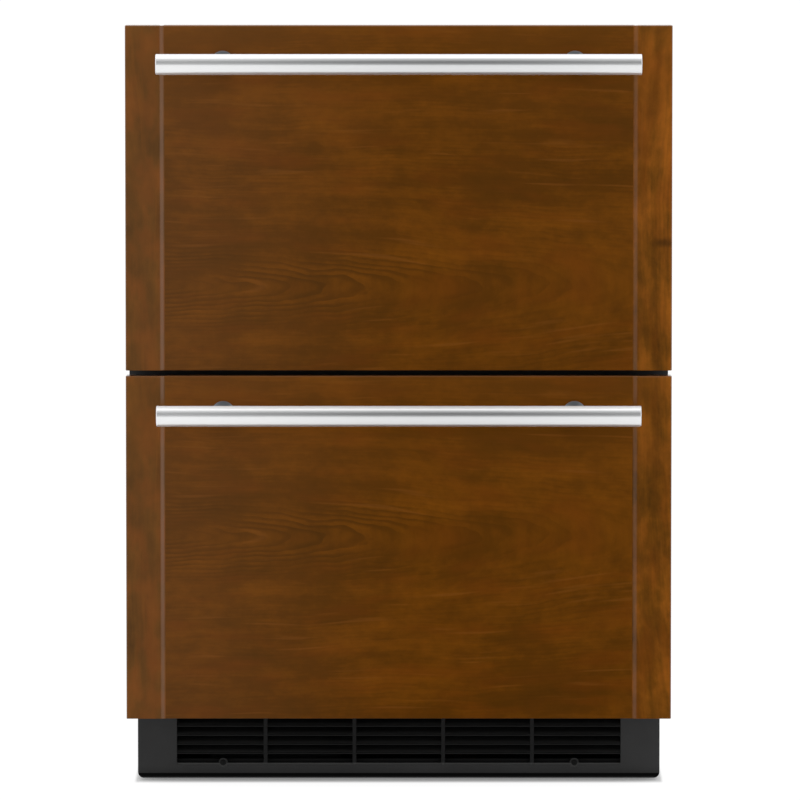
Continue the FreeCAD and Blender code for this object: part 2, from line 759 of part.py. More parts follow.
def kick_plate():
    """Sheet with its lower edge rolled back, and a window for the louvres, notched round their screws."""
    y0, y1 = CAB_FRONT_Y, CAB_FRONT_Y + KICK_T
    low, top = KICK_CLEAR, TRAY_TOP
    bend = V(-BASE_HALF, y0 + KICK_ROLL, low + KICK_ROLL)
    lean = math.sqrt(0.5)

    def on_arc(radius, share_y, share_z):
        return bend + V(0, share_y * radius, share_z * radius)

    outer_r, inner_r = KICK_ROLL, KICK_ROLL - KICK_T
    edges = [
        Part.LineSegment(V(-BASE_HALF, y0, top), on_arc(outer_r, -1, 0)),
        Part.Arc(on_arc(outer_r, -1, 0), on_arc(outer_r, -lean, -lean), on_arc(outer_r, 0, -1)),
        Part.LineSegment(on_arc(outer_r, 0, -1), on_arc(inner_r, 0, -1)),
        Part.Arc(on_arc(inner_r, 0, -1), on_arc(inner_r, -lean, -lean), on_arc(inner_r, -1, 0)),
        Part.LineSegment(on_arc(inner_r, -1, 0), V(-BASE_HALF, y1, top)),
        Part.LineSegment(V(-BASE_HALF, y1, top), V(-BASE_HALF, y0, top)),
    ]
    sheet = Part.Face(Part.Wire([e.toShape() for e in edges])).extrude(V(2 * BASE_HALF, 0, 0))
    deep = (y0, y0 + KICK_ROLL)
    corners = box((-BASE_HALF, BASE_HALF), deep, (low, top))
    lower = [e for e in edges_along(corners, Y_AXIS) if e.CenterOfMass.z < low + PICK]
    sheet = sheet.common(corners.makeFillet(KICK_CORNER, lower))
    half = WINDOW_W / 2
    window = rounded_box((-half, half), (y0, y1), (WINDOW_SILL, WINDOW_TOP), Y_AXIS, WINDOW_ROUND)
    notches = [rod(V(p.x, y0, p.z), Y_AXIS, KICK_NOTCH_D, KICK_T) for p in kick_screw_places()]
    return cut(sheet, [window, *notches])


def kick_grille():
    """Louvres, ribs and screw bosses on a flange behind the kick plate's window."""
    front = CAB_FRONT_Y + LOUVRE_RECESS
    back = CAB_FRONT_Y + KICK_T
    half = WINDOW_W / 2
    fit = LOUVRE_RECESS
    outer = box(
        (-half - GRILLE_FLANGE, half + GRILLE_FLANGE),
        (back, back + GRILLE_FLANGE_T),
        (WINDOW_SILL - GRILLE_FLANGE, TRAY_TOP - fit),
    )
    hole_z = (WINDOW_SILL, WINDOW_TOP)
    parts = [outer.cut(box((fit - half, half - fit), (back, back + GRILLE_FLANGE_T), hole_z))]
    depth = LOUVRE_D - LOUVRE_RECESS
    first = WINDOW_SILL + LOUVRE_START
    count = 1 + int((WINDOW_TOP - fit - LOUVRE_T - first) / LOUVRE_PITCH)
    for blade in range(count):
        z = first + blade * LOUVRE_PITCH
        outline = [
            V(fit - half, front, z),
            V(fit - half, front, z + LOUVRE_T),
            V(fit - half, front + depth, z + LOUVRE_T + LOUVRE_RISE),
            V(fit - half, front + depth, z + LOUVRE_RISE),
        ]
        parts.append(extrude(outline, V(2 * (half - fit), 0, 0)))
    bay = WINDOW_W / LOUVRE_BAYS
    for rib in range(1, LOUVRE_BAYS):
        x = rib * bay - half
        rib_z = (WINDOW_SILL + fit, WINDOW_TOP - fit)
        parts.append(box((x - RIB_W / 2, x + RIB_W / 2), (front, front + RIB_D), rib_z))
    bores = []
    for place in kick_screw_places():
        boss_l = tray_lip_y() - place.y
        parts.append(rod(place, Y_AXIS, KICK_BOSS_D, boss_l))
        bores.append(rod(place, Y_AXIS, KICK_SCREW_D + SCREW_HOLE_EXTRA, boss_l))
        bores.append(rod(place, -Y_AXIS, KICK_BOSS_D, KICK_BOSS_RECESS))
    limit = box(
        (-half - GRILLE_FLANGE, half + GRILLE_FLANGE),
        (front, front + LOUVRE_D),
        (WINDOW_SILL - GRILLE_FLANGE, TRAY_TOP - fit),
    )
    return cut(fuse(parts).common(limit), bores)


def kick_screws():
    screws = []
    for place in kick_screw_places():
        head = rod(place, -Y_AXIS, KICK_SCREW_HEAD_D, KICK_SCREW_HEAD_T)
        front = place.y - KICK_SCREW_HEAD_T / 2
        rim = [e for e in head.Edges if e.CenterOfMass.y < front and isinstance(e.Curve, Part.Circle)]
        head = head.makeFillet(KICK_SCREW_HEAD_T / 2, rim)
        screws.append(fuse([head, rod(place, Y_AXIS, KICK_SCREW_D, KICK_SCREW_L)]))
    return Part.makeCompound(screws)


def counter_brackets():
    """Z-shaped straps from the cabinet's top up to the counter, screwed at both ends."""
    x = BRACKET_SPAN / 2 - BRACKET_W / 2
    front, rear = CAB_FRONT_Y - BRACKET_REACH, CAB_FRONT_Y + BRACKET_SEAT
    low, high = CAB_TOP, CAB_TOP + BRACKET_RISE
    outline = [
        V(x, rear, low),
        V(x, rear, low + BRACKET_T),
        V(x, CAB_FRONT_Y + BRACKET_T, low + BRACKET_T),
        V(x, CAB_FRONT_Y + BRACKET_T, high),
        V(x, front, high),
        V(x, front, high - BRACKET_T),
        V(x, CAB_FRONT_Y, high - BRACKET_T),
        V(x, CAB_FRONT_Y, low),
    ]
    strap = extrude(outline, V(BRACKET_W, 0, 0))
    ends = [e for e in edges_along(strap, Z_AXIS) if not front + PICK < e.CenterOfMass.y < rear - PICK]
    strap = strap.makeFillet(BRACKET_CORNER, ends)
    hole_y = (front + BRACKET_HOLE_SETBACK, rear - BRACKET_HOLE_SETBACK)
    places = [V(BRACKET_SPAN / 2, y, low) for y in hole_y]
    return pair(cut(strap, [rod(place, Z_AXIS, BRACKET_HOLE_D, BRACKET_RISE) for place in places]))


def compressor_cover():
    """Removable vented cover over the rear of the machine bay."""
    half = CAB_W / 2 - SHEET
    y = (CAB_REAR_Y - COVER_INSET - SHEET, CAB_REAR_Y - COVER_INSET)
    cover = box((-half, half), y, (TRAY_TOP, HUMP_TOP))
    tail = box((-BASE_HALF, BASE_HALF), y, (BASE_Z, TRAY_TOP))
    slots = []
    for side in SIDES:
        for slot in range(VENT_SLOTS):
            z = HUMP_TOP - 2 * VENT_PITCH - slot * VENT_PITCH
            x = side * VENT_X
            slots.append(box((x - VENT_SLOT_W / 2, x + VENT_SLOT_W / 2), y, (z - VENT_SLOT_H, z)))
    gland = rod(V(GLAND_X, y[0], GLAND_Z), Y_AXIS, GLAND_BODY_D + 2 * GLAND_CLEAR, SHEET)
    return cut(fuse([cover, tail]), [*slots, gland])


def cord_gland():
    outside = CAB_REAR_Y - COVER_INSET
    flange = rod(V(GLAND_X, outside, GLAND_Z), Y_AXIS, GLAND_FLANGE_D, GLAND_FLANGE_T)
    body = rod(V(GLAND_X, outside + GLAND_FLANGE_T, GLAND_Z), -Y_AXIS, GLAND_BODY_D, GLAND_L)
    bore = rod(V(GLAND_X, outside + GLAND_FLANGE_T, GLAND_Z), -Y_AXIS, GLAND_BORE_D, GLAND_L)
    return fuse([flange, body]).cut(bore)


# Machine bay
def stadium(length, width, z, height):
    """An upright shell with round ends, along X, centred on the origin."""
    run = (length - width) / 2
    middle = box((-run, run), (-width / 2, width / 2), (z, z + height))
    ends = [rod(V(side * run, 0, z), Z_AXIS, width, height) for side in SIDES]
    return fuse([middle, *ends])


def compressor():
    """Welded steel pot with a seam flange, on a foot plate."""
    base = TRAY_FLOOR + MOUNT_BOSS_H
    pot_z = base + COMPRESSOR_FOOT_T
    pot = stadium(COMPRESSOR_L, COMPRESSOR_W, pot_z, COMPRESSOR_H)
    top = pot_z + COMPRESSOR_H
    pot = pot.makeFillet(COMPRESSOR_ROUND, [e for e in pot.Edges if e.CenterOfMass.z > top - PICK])
    grow = 2 * COMPRESSOR_SEAM
    seam_z = pot_z + COMPRESSOR_H / 2
    seam = stadium(COMPRESSOR_L + grow, COMPRESSOR_W + grow, seam_z, COMPRESSOR_SEAM_T)
    half_l, half_w = COMPRESSOR_FOOT_L / 2, COMPRESSOR_FOOT_W / 2
    foot = rounded_box((-half_l, half_l), (-half_w, half_w), (base, pot_z), Z_AXIS, 2 * COMPRESSOR_FOOT_T)
    whole = fuse([pot, seam, foot])
    whole.translate(V(COMPRESSOR_X, BAY_Y, 0))
    return whole


def coil(length, depth, height, fins, tubes):
    """A fin-and-tube block along X: plates, and straight passes joined by return bends outside."""
    spacing = length / (fins - 1)
    parts = []
    for fin in range(fins):
        x = fin * spacing - length / 2
        parts.append(box((x - FIN_T / 2, x + FIN_T / 2), (-depth / 2, depth / 2), (0, height)))
    pitch = height / tubes
    reach = length / 2 + COIL_TUBE_D
    for tube in range(tubes):
        z = (tube + 0.5) * pitch
        parts.append(rod(V(-reach, 0, z), X_AXIS, COIL_TUBE_D, 2 * reach))
    for bend in range(tubes - 1):
        side = SIDES[(bend + 1) % 2]
        z = (bend + 1) * pitch
        centre = V(side * reach, 0, z)
        circle = Part.makeCircle(COIL_TUBE_D / 2, centre - V(0, 0, pitch / 2), X_AXIS)
        section = Part.Face(Part.Wire(circle))
        parts.append(section.revolve(centre, V(0, -side, 0), 180))
    return fuse(parts)


def condenser_coil():
    block = coil(COND_CORE_W, COND_CORE_D, COND_CORE_H, COND_FINS, COND_TUBES)
    block.rotate(V(0, 0, 0), Z_AXIS, 90)
    block.translate(V(CONDENSER_X + COND_CORE_D / 2, BAY_Y, TRAY_FLOOR))
    return block


def fan_frame(size):
    """A square fan housing along Y, with struts and a motor behind the rotor. Its front is at Y 0."""
    half = size / 2
    body = rounded_box((-half, half), (0, FAN_DEPTH), (-half, half), Y_AXIS, 2 * FAN_WALL)
    body = body.cut(rod(V(0, 0, 0), Y_AXIS, size - 2 * FAN_WALL, FAN_DEPTH))
    strut_y = (FAN_DEPTH - FAN_STRUT_T, FAN_DEPTH)
    reach = half - FAN_WALL / 2
    across = box((-reach, reach), strut_y, (-FAN_STRUT_W / 2, FAN_STRUT_W / 2))
    upright = box((-FAN_STRUT_W / 2, FAN_STRUT_W / 2), strut_y, (-reach, reach))
    motor = rod(V(0, FAN_DEPTH, 0), -Y_AXIS, FAN_MOTOR_D, FAN_MOTOR_T)
    bore = rod(V(0, FAN_DEPTH, 0), -Y_AXIS, FAN_SHAFT_D + 2 * FAN_SHAFT_CLEAR, FAN_MOTOR_T)
    return fuse([body, across, upright, motor]).cut(bore)


def fan_rotor(size):
    """Hub, shaft and twisted blades that turn in the housing."""
    rear = FAN_DEPTH - FAN_MOTOR_T - FAN_AXIAL_GAP
    hub = rod(V(0, FAN_AXIAL_GAP, 0), Y_AXIS, FAN_HUB_D, rear - FAN_AXIAL_GAP)
    shaft = rod(V(0, rear, 0), Y_AXIS, FAN_SHAFT_D, FAN_MOTOR_T)
    tip = size / 2 - FAN_WALL - FAN_TIP_CLEAR
    middle = (rear + FAN_AXIAL_GAP) / 2

    def section(radius, chord, pitch):
        angle = math.radians(pitch)
        along = V(math.cos(angle), math.sin(angle), 0) * (chord / 2)
        across = V(-math.sin(angle), math.cos(angle), 0) * (FAN_BLADE_T / 2)
        centre = V(0, middle, radius)
        corners = [along + across, along - across, -along - across, -along + across]
        points = [centre + c for c in corners]
        return Part.makePolygon([*points, points[0]])

    root = section(FAN_HUB_D / 2 - FAN_BLADE_T, FAN_ROOT_CHORD, FAN_ROOT_PITCH)
    end = section(tip - FAN_BLADE_T, FAN_TIP_CHORD, FAN_TIP_PITCH)
    blade = Part.makeLoft([root, end], True, True)
    blades = []
    for turn in range(FAN_BLADES):
        copy = blade.copy()
        copy.rotate(V(0, 0, 0), Y_AXIS, turn * 360 / FAN_BLADES)
        blades.append(copy)
    return fuse([hub, shaft, *blades])


def condenser_place(shape):
    """Turns a fan's axis along X and stands it on the tray between compressor and condenser."""
    shape.rotate(V(0, 0, 0), Z_AXIS, -90)
    shape.translate(V(COND_FAN_X, BAY_Y, TRAY_FLOOR + COND_FAN_SIZE / 2))
    return shape


def evaporator_place(shape):
    """Seats a fan on the back of the evaporator's cover."""
    shape.translate(V(0, LOWER_BACK_Y + COVER_T, NICHE_MIDDLE))
    return shape


def drain_pan():
    half_w, half_d = DRAIN_PAN_W / 2, DRAIN_PAN_D / 2
    z = (TRAY_FLOOR, TRAY_FLOOR + DRAIN_PAN_H)
    x = (DRAIN_PAN_X - half_w, DRAIN_PAN_X + half_w)
    outer = rounded_box(x, (BAY_Y - half_d, BAY_Y + half_d), z, Z_AXIS, DRAIN_PAN_ROUND)
    wall = DRAIN_PAN_T
    inner_y = (BAY_Y - half_d + wall, BAY_Y + half_d - wall)
    inner_z = (TRAY_FLOOR + wall, z[1])
    inner = rounded_box((x[0] + wall, x[1] - wall), inner_y, inner_z, Z_AXIS, DRAIN_PAN_ROUND - wall)
    return outer.cut(inner)


def bent_line(points):
    """A round tube along straight runs joined by tangent arcs."""
    edges = []
    start = points[0]
    for before, corner, after in zip(points, points[1:], points[2:]):
        into = (corner - before).normalize()
        out = (after - corner).normalize()
        half_turn = into.getAngle(out) / 2
        back = LINE_BEND * math.tan(half_turn)
        first, last = corner - into * back, corner + out * back
        to_centre = (out - into).normalize()
        middle = corner + to_centre * (LINE_BEND / math.cos(half_turn) - LINE_BEND)
        edges.append(Part.LineSegment(start, first).toShape())
        edges.append(Part.Arc(first, middle, last).toShape())
        start = last
    edges.append(Part.LineSegment(start, points[-1]).toShape())
    section = Part.Wire(Part.makeCircle(LINE_D / 2, points[0], points[1] - points[0]))
    return Part.Wire(edges).makePipeShell([section], True, False)


def refrigerant_lines():
    """The suction line down from the evaporator and the discharge line over to the condenser."""
    pot_top = TRAY_FLOOR + MOUNT_BOSS_H + COMPRESSOR_FOOT_T + COMPRESSOR_H
    over = (pot_top + HUMP_TOP) / 2
    evap_z = NICHE_FLOOR + COVER_CLEAR + EVAP_CORE_H - EVAP_CORE_H / EVAP_TUBES / 2
    evap_end = -EVAP_CORE_L / 2 - COIL_TUBE_D
    suction = [
        V(evap_end, SUCTION_Y, evap_z),
        V(SUCTION_X, SUCTION_Y, evap_z),
        V(SUCTION_X, SUCTION_Y, pot_top),
    ]
    discharge_y = BAY_Y - COMPRESSOR_W / 4
    coil_y = BAY_Y - COND_CORE_W / 2 - COIL_TUBE_D
    coil_z = TRAY_FLOOR + COND_CORE_H - COND_CORE_H / COND_TUBES / 2
    coil_x = CONDENSER_X + COND_CORE_D / 2
    discharge = [
        V(COMPRESSOR_X, discharge_y, pot_top),
        V(COMPRESSOR_X, discharge_y, over),
        V(coil_x, discharge_y, over),
        V(coil_x, coil_y - 2 * LINE_BEND, over),
        V(coil_x, coil_y - 2 * LINE_BEND, coil_z),
        V(coil_x, coil_y, coil_z),
    ]
    return Part.makeCompound([bent_line(suction), bent_line(discharge)])


def control_box():
    x = (CONTROL_BOX_X - CONTROL_BOX_L / 2, CONTROL_BOX_X + CONTROL_BOX_L / 2)
    y0 = LINER_FRONT_Y + TRAY_T + CONTROL_BOX_Y
    top = TRAY_FLOOR + CONTROL_BOX_H
    shell = rounded_box(x, (y0, y0 + CONTROL_BOX_D), (TRAY_FLOOR, top), Z_AXIS, CONTROL_BOX_ROUND)
    lid = [e for e in shell.Edges if e.CenterOfMass.z > top - PICK]
    return shell.makeChamfer(CONTROL_BOX_ROUND / 2, lid)


# Cold side
def evaporator_coil():
    block = coil(EVAP_CORE_L, EVAP_CORE_D, EVAP_CORE_H, EVAP_FINS, EVAP_TUBES)
    block.translate(V(0, SUCTION_Y, NICHE_FLOOR + COVER_CLEAR))
    return block


def evaporator_cover():
    """Plate across the niche, with the fan's mouth and return-air slots on both sides."""
    half = LINER_HALF - COVER_CLEAR
    y = (LOWER_BACK_Y, LOWER_BACK_Y + COVER_T)
    z = (NICHE_FLOOR + COVER_CLEAR, LOWER_CEILING - COVER_CLEAR)
    plate = rounded_box((-half, half), y, z, Y_AXIS, LINER_ROUND - COVER_CLEAR)
    mouth = rod(V(0, y[0], NICHE_MIDDLE), Y_AXIS, EVAP_FAN_SIZE - 2 * FAN_WALL, COVER_T)
    slots = []
    for side in SIDES:
        x = side * (LINER_HALF + EVAP_FAN_SIZE / 2) / 2
        for slot in range(COVER_SLOTS):
            centre = NICHE_MIDDLE + (slot - (COVER_SLOTS - 1) / 2) * COVER_SLOT_PITCH
            slot_x = (x - COVER_SLOT_W / 2, x + COVER_SLOT_W / 2)
            slots.append(box(slot_x, y, (centre - COVER_SLOT_H / 2, centre + COVER_SLOT_H / 2)))
    return cut(plate, [mouth, *slots])


def control_panel():
    """Touch strip under the upper compartment's ceiling, with a face that leans forward."""
    half = CONTROL_PANEL_W / 2
    y0 = LINER_FRONT_Y + CONTROL_PANEL_SETBACK
    outline = [
        V(-half, y0, UPPER_CEILING),
        V(-half, y0, UPPER_CEILING - CONTROL_PANEL_T + CONTROL_PANEL_SLOPE),
        V(-half, y0 + CONTROL_PANEL_D / 2, UPPER_CEILING - CONTROL_PANEL_T),
        V(-half, y0 + CONTROL_PANEL_D, UPPER_CEILING - CONTROL_PANEL_T),
        V(-half, y0 + CONTROL_PANEL_D, UPPER_CEILING),
    ]
    return extrude(outline, V(CONTROL_PANEL_W, 0, 0))


def compartment_lamps():
    lamps = []
    half = LAMP_W / 2
    y0 = LINER_FRONT_Y + LAMP_SETBACK
    for ceiling in (LOWER_CEILING, UPPER_CEILING):
        lens = box((-half, half), (y0, y0 + LAMP_D), (ceiling - LAMP_T, ceiling))
        lower = [e for e in lens.Edges if e.CenterOfMass.z < ceiling - LAMP_T + PICK]
        lamps.append(lens.makeChamfer(LAMP_T / 2, lower))
    return Part.makeCompound(lamps)


# Assembly
def drawer(name, z, floor, ceiling, depth, travel):
    """Every piece of one drawer, and the fixed slide members that carry it. Bin and slides are equally
    deep."""
    outer, middle, inner = slide_members(floor, depth)
    return outer, {
        f"{name}_panel_board": panel_board(z),
        f"{name}_panel_stiles": panel_stiles(z),
        f"{name}_handle_bar": handle_bar(z),
        f"{name}_handle_posts": handle_posts(z),
        f"{name}_handle_screws": handle_screws(z),
        f"{name}_front_pan": front_pan(z),
        f"{name}_front_foam": front_foam(z, floor, ceiling),
        f"{name}_front_liner": front_liner(z, floor, ceiling),
        f"{name}_gasket": gasket(floor, ceiling),
        f"{name}_bin": drawer_bin(floor, depth),
        f"{name}_slide_inner": pair(inner),
        f"{name}_slide_middle": pair(middle),
        f"{name}_outer_ball_cages": ball_cage(floor, depth, travel, "outer"),
        f"{name}_inner_ball_cages": ball_cage(floor, depth, travel, "inner"),
    }


def build():
    upper_rail, upper = drawer("upper", UPPER_Z, UPPER_FLOOR, UPPER_CEILING, UPPER_BIN_D, UPPER_TRAVEL)
    lower_rail, lower = drawer("lower", LOWER_Z, LOWER_FLOOR, LOWER_CEILING, LOWER_BIN_D, LOWER_TRAVEL)
    rails = [upper_rail, mirrored(upper_rail), lower_rail, mirrored(lower_rail)]
    parts = {
        **upper,
        **lower,
        "slide_outer_rails": Part.makeCompound(rails),
        "outer_wrapper": outer_wrapper(),
        "front_frame": front_frame(),
        "rear_panel": rear_panel(),
        "cabinet_foam": cabinet_foam(),
        "upper_liner": upper_liner(),
        "lower_liner": lower_liner(),
        "bay_liner": bay_liner(),
        "base_tray": base_tray(),
        "kick_plate": kick_plate(),
        "kick_grille": kick_grille(),
        "kick_screws": kick_screws(),
        "counter_brackets": counter_brackets(),
        "compressor_cover": compressor_cover(),
        "cord_gland": cord_gland(),
        "compressor": compressor(),
        "condenser_coil": condenser_coil(),
        "condenser_fan_frame": condenser_place(fan_frame(COND_FAN_SIZE)),
        "condenser_fan": condenser_place(fan_rotor(COND_FAN_SIZE)),
        "drain_pan": drain_pan(),
        "refrigerant_lines": refrigerant_lines(),
        "control_box": control_box(),
        "evaporator_coil": evaporator_coil(),
        "evaporator_cover": evaporator_cover(),
        "evaporator_fan_frame": evaporator_place(fan_frame(EVAP_FAN_SIZE)),
        "evaporator_fan": evaporator_place(fan_rotor(EVAP_FAN_SIZE)),
        "control_panel": control_panel(),
        "compartment_lamps": compartment_lamps(),
    }
    for name, place in leg_places().items():
        parts[f"{name}_leg"] = levelling_leg(place)
    return parts


def main():
    os.makedirs("parts", exist_ok=True)
    for name, shape in build().items():
        assert shape.isValid(), name
        shape.exportStep(f"parts/{name}.step")
        print(f"{name}: {len(shape.Solids)} solids, {shape.Volume / 1000:.1f} cm3")


if __name__ == "__main__":
    main()
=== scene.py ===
# %% [markdown]
# # A built-in drawer freezer in the studio
# The freezer has two drawers behind stained cherry fronts, a round steel bar on each, and a black
# louvred toe kick. Its construction comes in as a finished frame of solids in metres, with the
# front facing -Y. This lesson gives the frame its looks: it sets up the camera and the light,
# remodels the pieces that the eye rests on, and paints every surface with procedural materials.

# %% Load the frame
import math

import bmesh
import bpy
from mathutils import Matrix, Vector


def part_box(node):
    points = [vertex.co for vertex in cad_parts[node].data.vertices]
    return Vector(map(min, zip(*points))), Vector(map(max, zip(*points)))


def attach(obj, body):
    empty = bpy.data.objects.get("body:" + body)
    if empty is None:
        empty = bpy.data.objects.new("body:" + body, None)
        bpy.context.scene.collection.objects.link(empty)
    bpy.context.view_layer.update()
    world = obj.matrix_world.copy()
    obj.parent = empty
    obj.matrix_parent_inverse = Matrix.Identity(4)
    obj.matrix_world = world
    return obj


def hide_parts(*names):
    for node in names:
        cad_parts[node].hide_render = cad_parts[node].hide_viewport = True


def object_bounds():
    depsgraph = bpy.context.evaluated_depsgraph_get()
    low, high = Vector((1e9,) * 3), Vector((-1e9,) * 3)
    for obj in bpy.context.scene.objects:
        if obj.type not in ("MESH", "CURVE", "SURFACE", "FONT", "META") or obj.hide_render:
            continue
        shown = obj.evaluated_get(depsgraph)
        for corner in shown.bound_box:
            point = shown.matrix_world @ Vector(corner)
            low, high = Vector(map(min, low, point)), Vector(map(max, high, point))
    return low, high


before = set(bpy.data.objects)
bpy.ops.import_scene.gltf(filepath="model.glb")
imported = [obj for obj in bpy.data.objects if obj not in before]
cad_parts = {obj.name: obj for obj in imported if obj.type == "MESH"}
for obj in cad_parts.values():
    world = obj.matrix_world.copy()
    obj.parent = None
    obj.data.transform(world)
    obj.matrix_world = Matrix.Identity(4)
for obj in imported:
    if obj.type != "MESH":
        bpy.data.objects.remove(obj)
cad_box = [list(corner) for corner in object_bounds()]
MM = 0.001
print("solids loaded:", len(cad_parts), "box:", cad_box)

# %% [markdown]
# ## Camera
# The picture is a catalogue shot: straight on, from far away, a little above the middle of the
# object. A long lens from ten metres gives the nearly parallel sides. The camera is pitched down by
# a few degrees, which is why the handle posts peep out above their bars. Pitching is chosen instead
# of lens shift, because a shift would stay in the way when the camera walks round the object.

# %% Set the camera
FRAME_WIDTH = 0.8878  # what the picture spans at the fronts
DISTANCE = 10.0
PITCH = math.radians(5.0)
AIM_X, AIM_Z = 0.0014, 0.4343  # the middle of the picture
SENSOR = 36
FAR_LIMIT = 300
aim = Vector((AIM_X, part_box("upper_panel_stiles")[0].y, AIM_Z))
bpy.ops.object.select_all(action="DESELECT")
bpy.ops.object.camera_add(
    location=aim + DISTANCE * Vector((0, -math.cos(PITCH), math.sin(PITCH))),
    rotation=(math.pi / 2 - PITCH, 0, 0),
)
camera = bpy.context.object
camera.name = "catalogue_camera"
camera.data.sensor_width = SENSOR
camera.data.lens = SENSOR * DISTANCE / FRAME_WIDTH
camera.data.clip_end = FAR_LIMIT
bpy.context.scene.camera = camera
bpy.context.scene.view_settings.view_transform = "Standard"
print("lens:", round(camera.data.lens), "mm")

# %% [markdown]
# ## Shader maths as Python
# Materials here are mostly sums and products of noises. Wiring each Math node by hand hides the
# idea, so a socket is wrapped in a small class whose operators add the Math nodes. Every other node
# comes from one method, which takes the node's type, its settings and its sockets.


# %% A socket that behaves like a number
def plug(socket, value):
    """Links a wrapped socket to an input, or sets the input to a plain value."""
    if isinstance(value, Value):
        socket.id_data.links.new(value.socket, socket)
    else:
        socket.default_value = value


class Value:
    """One output socket, used in sums and products as if it were a number."""

    def __init__(self, socket):
        self.socket = socket

    def math(self, operation, first, second):
        node = self.socket.id_data.nodes.new("ShaderNodeMath")
        node.operation = operation
        plug(node.inputs[0], first)
        plug(node.inputs[1], second)
        return Value(node.outputs[0])

    def __add__(self, other):
        return self.math("ADD", self, other)

    def __sub__(self, other):
        return self.math("SUBTRACT", self, other)

    def __rsub__(self, other):
        return self.math("SUBTRACT", other, self)

    def __mul__(self, other):
        return self.math("MULTIPLY", self, other)

    def __truediv__(self, other):
        return self.math("DIVIDE", self, other)

    def __pow__(self, other):
        return self.math("POWER", self, other)

    def __abs__(self):
        return self.math("ABSOLUTE", self, 0.0)

    __radd__ = __add__
    __rmul__ = __mul__


# %% A node tree with one method for every kind of node
class Nodes:
    """A node tree to which nodes are added by type, settings and sockets."""

    def __init__(self, tree):
        self.tree = tree

    def node(self, kind, settings, sockets, output=None):
        node = self.tree.nodes.new("ShaderNode" + kind)
        for name, value in settings.items():
            if name == "stops":
                ramp = node.color_ramp.elements
                while len(ramp) < len(value):
                    ramp.new(1)
                for stop, (position, colour) in zip(ramp, value):
                    stop.position = position
                    stop.color = colour
            else:
                setattr(node, name, value)
        for key, value in sockets.items():
            named = [s for s in node.inputs if s.name == key and s.enabled]
            plug(named[0] if named else node.inputs[key], value)
        found = [s for s in node.outputs if s.enabled and output in (None, s.name)]
        return Value(found[0])

    def parts(self, spot):
        """The three numbers of a place: across, in depth and up."""
        first = self.node("SeparateXYZ", {}, {0: spot})
        return [Value(output) for output in first.socket.node.outputs]

    def stretched(self, spot, scales):
        """Coordinates scaled differently along each axis, in pattern units per metre."""
        return self.node("VectorMath", {"operation": "MULTIPLY"}, {0: spot, 1: scales})

    def noise(self, spot, scales, detail=2.0, roughness=0.5):
        """Noise about one half, with its lumps per metre along each axis."""
        sockets = {"Vector": self.stretched(spot, scales), "Scale": 1.0}
        sockets.update({"Detail": detail, "Roughness": roughness})
        return self.node("TexNoise", {}, sockets)

    def cells(self, spot, output):
        """Round cells, one to each unit of the coordinates."""
        return self.node("TexVoronoi", {"feature": "F1"}, {"Vector": spot, "Scale": 1.0}, output)

    def between(self, value, low, high, to_low=0.0, to_high=1.0):
        """A soft step: a value's range from low to high spread over another range."""
        names = ("Value", "From Min", "From Max", "To Min", "To Max")
        sockets = dict(zip(names, (value, low, high, to_low, to_high)))
        return self.node("MapRange", {"interpolation_type": "SMOOTHSTEP"}, sockets)

    def blend(self, factor, first, second):
        settings = {"data_type": "RGBA", "blend_type": "MIX"}
        return self.node("Mix", settings, {"Factor": factor, "A": first, "B": second})

    def layered(self, colour, layers):
        """A colour under several tints, each with its share."""
        for share, tint in layers:
            colour = self.blend(share, colour, tint)
        return colour


# %% A material with one Principled shader
def srgb(red, green, blue):
    """A colour as a picture editor gives it, 0 to 255, as linear light."""
    levels = [c / 255 for c in (red, green, blue)]
    light = [c / 12.92 if c <= 0.04045 else ((c + 0.055) / 1.055) ** 2.4 for c in levels]
    return (*light, 1.0)


class Finish(Nodes):
    """A material whose patterns are laid out in the object's own metres."""

    def __init__(self, name, **constants):
        self.material = bpy.data.materials.new(name)
        self.material.use_nodes = True
        super().__init__(self.material.node_tree)
        self.shader = self.tree.nodes["Principled BSDF"]
        self.spot = self.node("TexCoord", {}, {}, "Object")
        for socket, value in constants.items():
            plug(self.shader.inputs[socket.replace("_", " ")], value)

    def set(self, socket, value):
        plug(self.shader.inputs[socket], value)

    def bump(self, height, strength, distance):
        sockets = {"Height": height, "Strength": strength, "Distance": distance}
        self.set("Normal", self.node("Bump", {}, sockets))


print("shader helpers ready")

# %% [markdown]
# ## Modelling helpers
# The new pieces are modelled as by hand: a primitive at its size and place, then edit mode. An
# operator acts on all that is selected, so each step first deselects everything and then picks
# faces or edges by where they are and which way they face.


# %% Start a piece, pick parts of it, finish it
def fresh():
    """Back to object mode with nothing selected."""
    if bpy.context.mode != "OBJECT":
        bpy.ops.object.mode_set(mode="OBJECT")
    bpy.ops.object.select_all(action="DESELECT")


def open_piece(name):
    """Names the new primitive, puts its place into its mesh and opens it in edit mode."""
    piece = bpy.context.object
    piece.name = name
    bpy.ops.object.transform_apply(location=True, rotation=True, scale=True)
    bpy.ops.object.mode_set(mode="EDIT")
    bpy.ops.mesh.select_all(action="DESELECT")
    return piece


def block(name, low, high):
    """A cube between two corners, open for editing."""
    fresh()
    low, high = Vector(low), Vector(high)
    bpy.ops.mesh.primitive_cube_add(size=1, location=(low + high) / 2)
    bpy.context.object.scale = high - low
    return open_piece(name)


TURNS = {"X": (0, math.pi / 2, 0), "Y": (math.pi / 2, 0, 0)}


def round_bar(name, centre, axis, radius, length, sides):
    """A cylinder along X or Y, open for editing."""
    fresh()
    bpy.ops.mesh.primitive_cylinder_add(
        vertices=sides, radius=radius, depth=length, location=centre, rotation=TURNS[axis]
    )
    return open_piece(name)


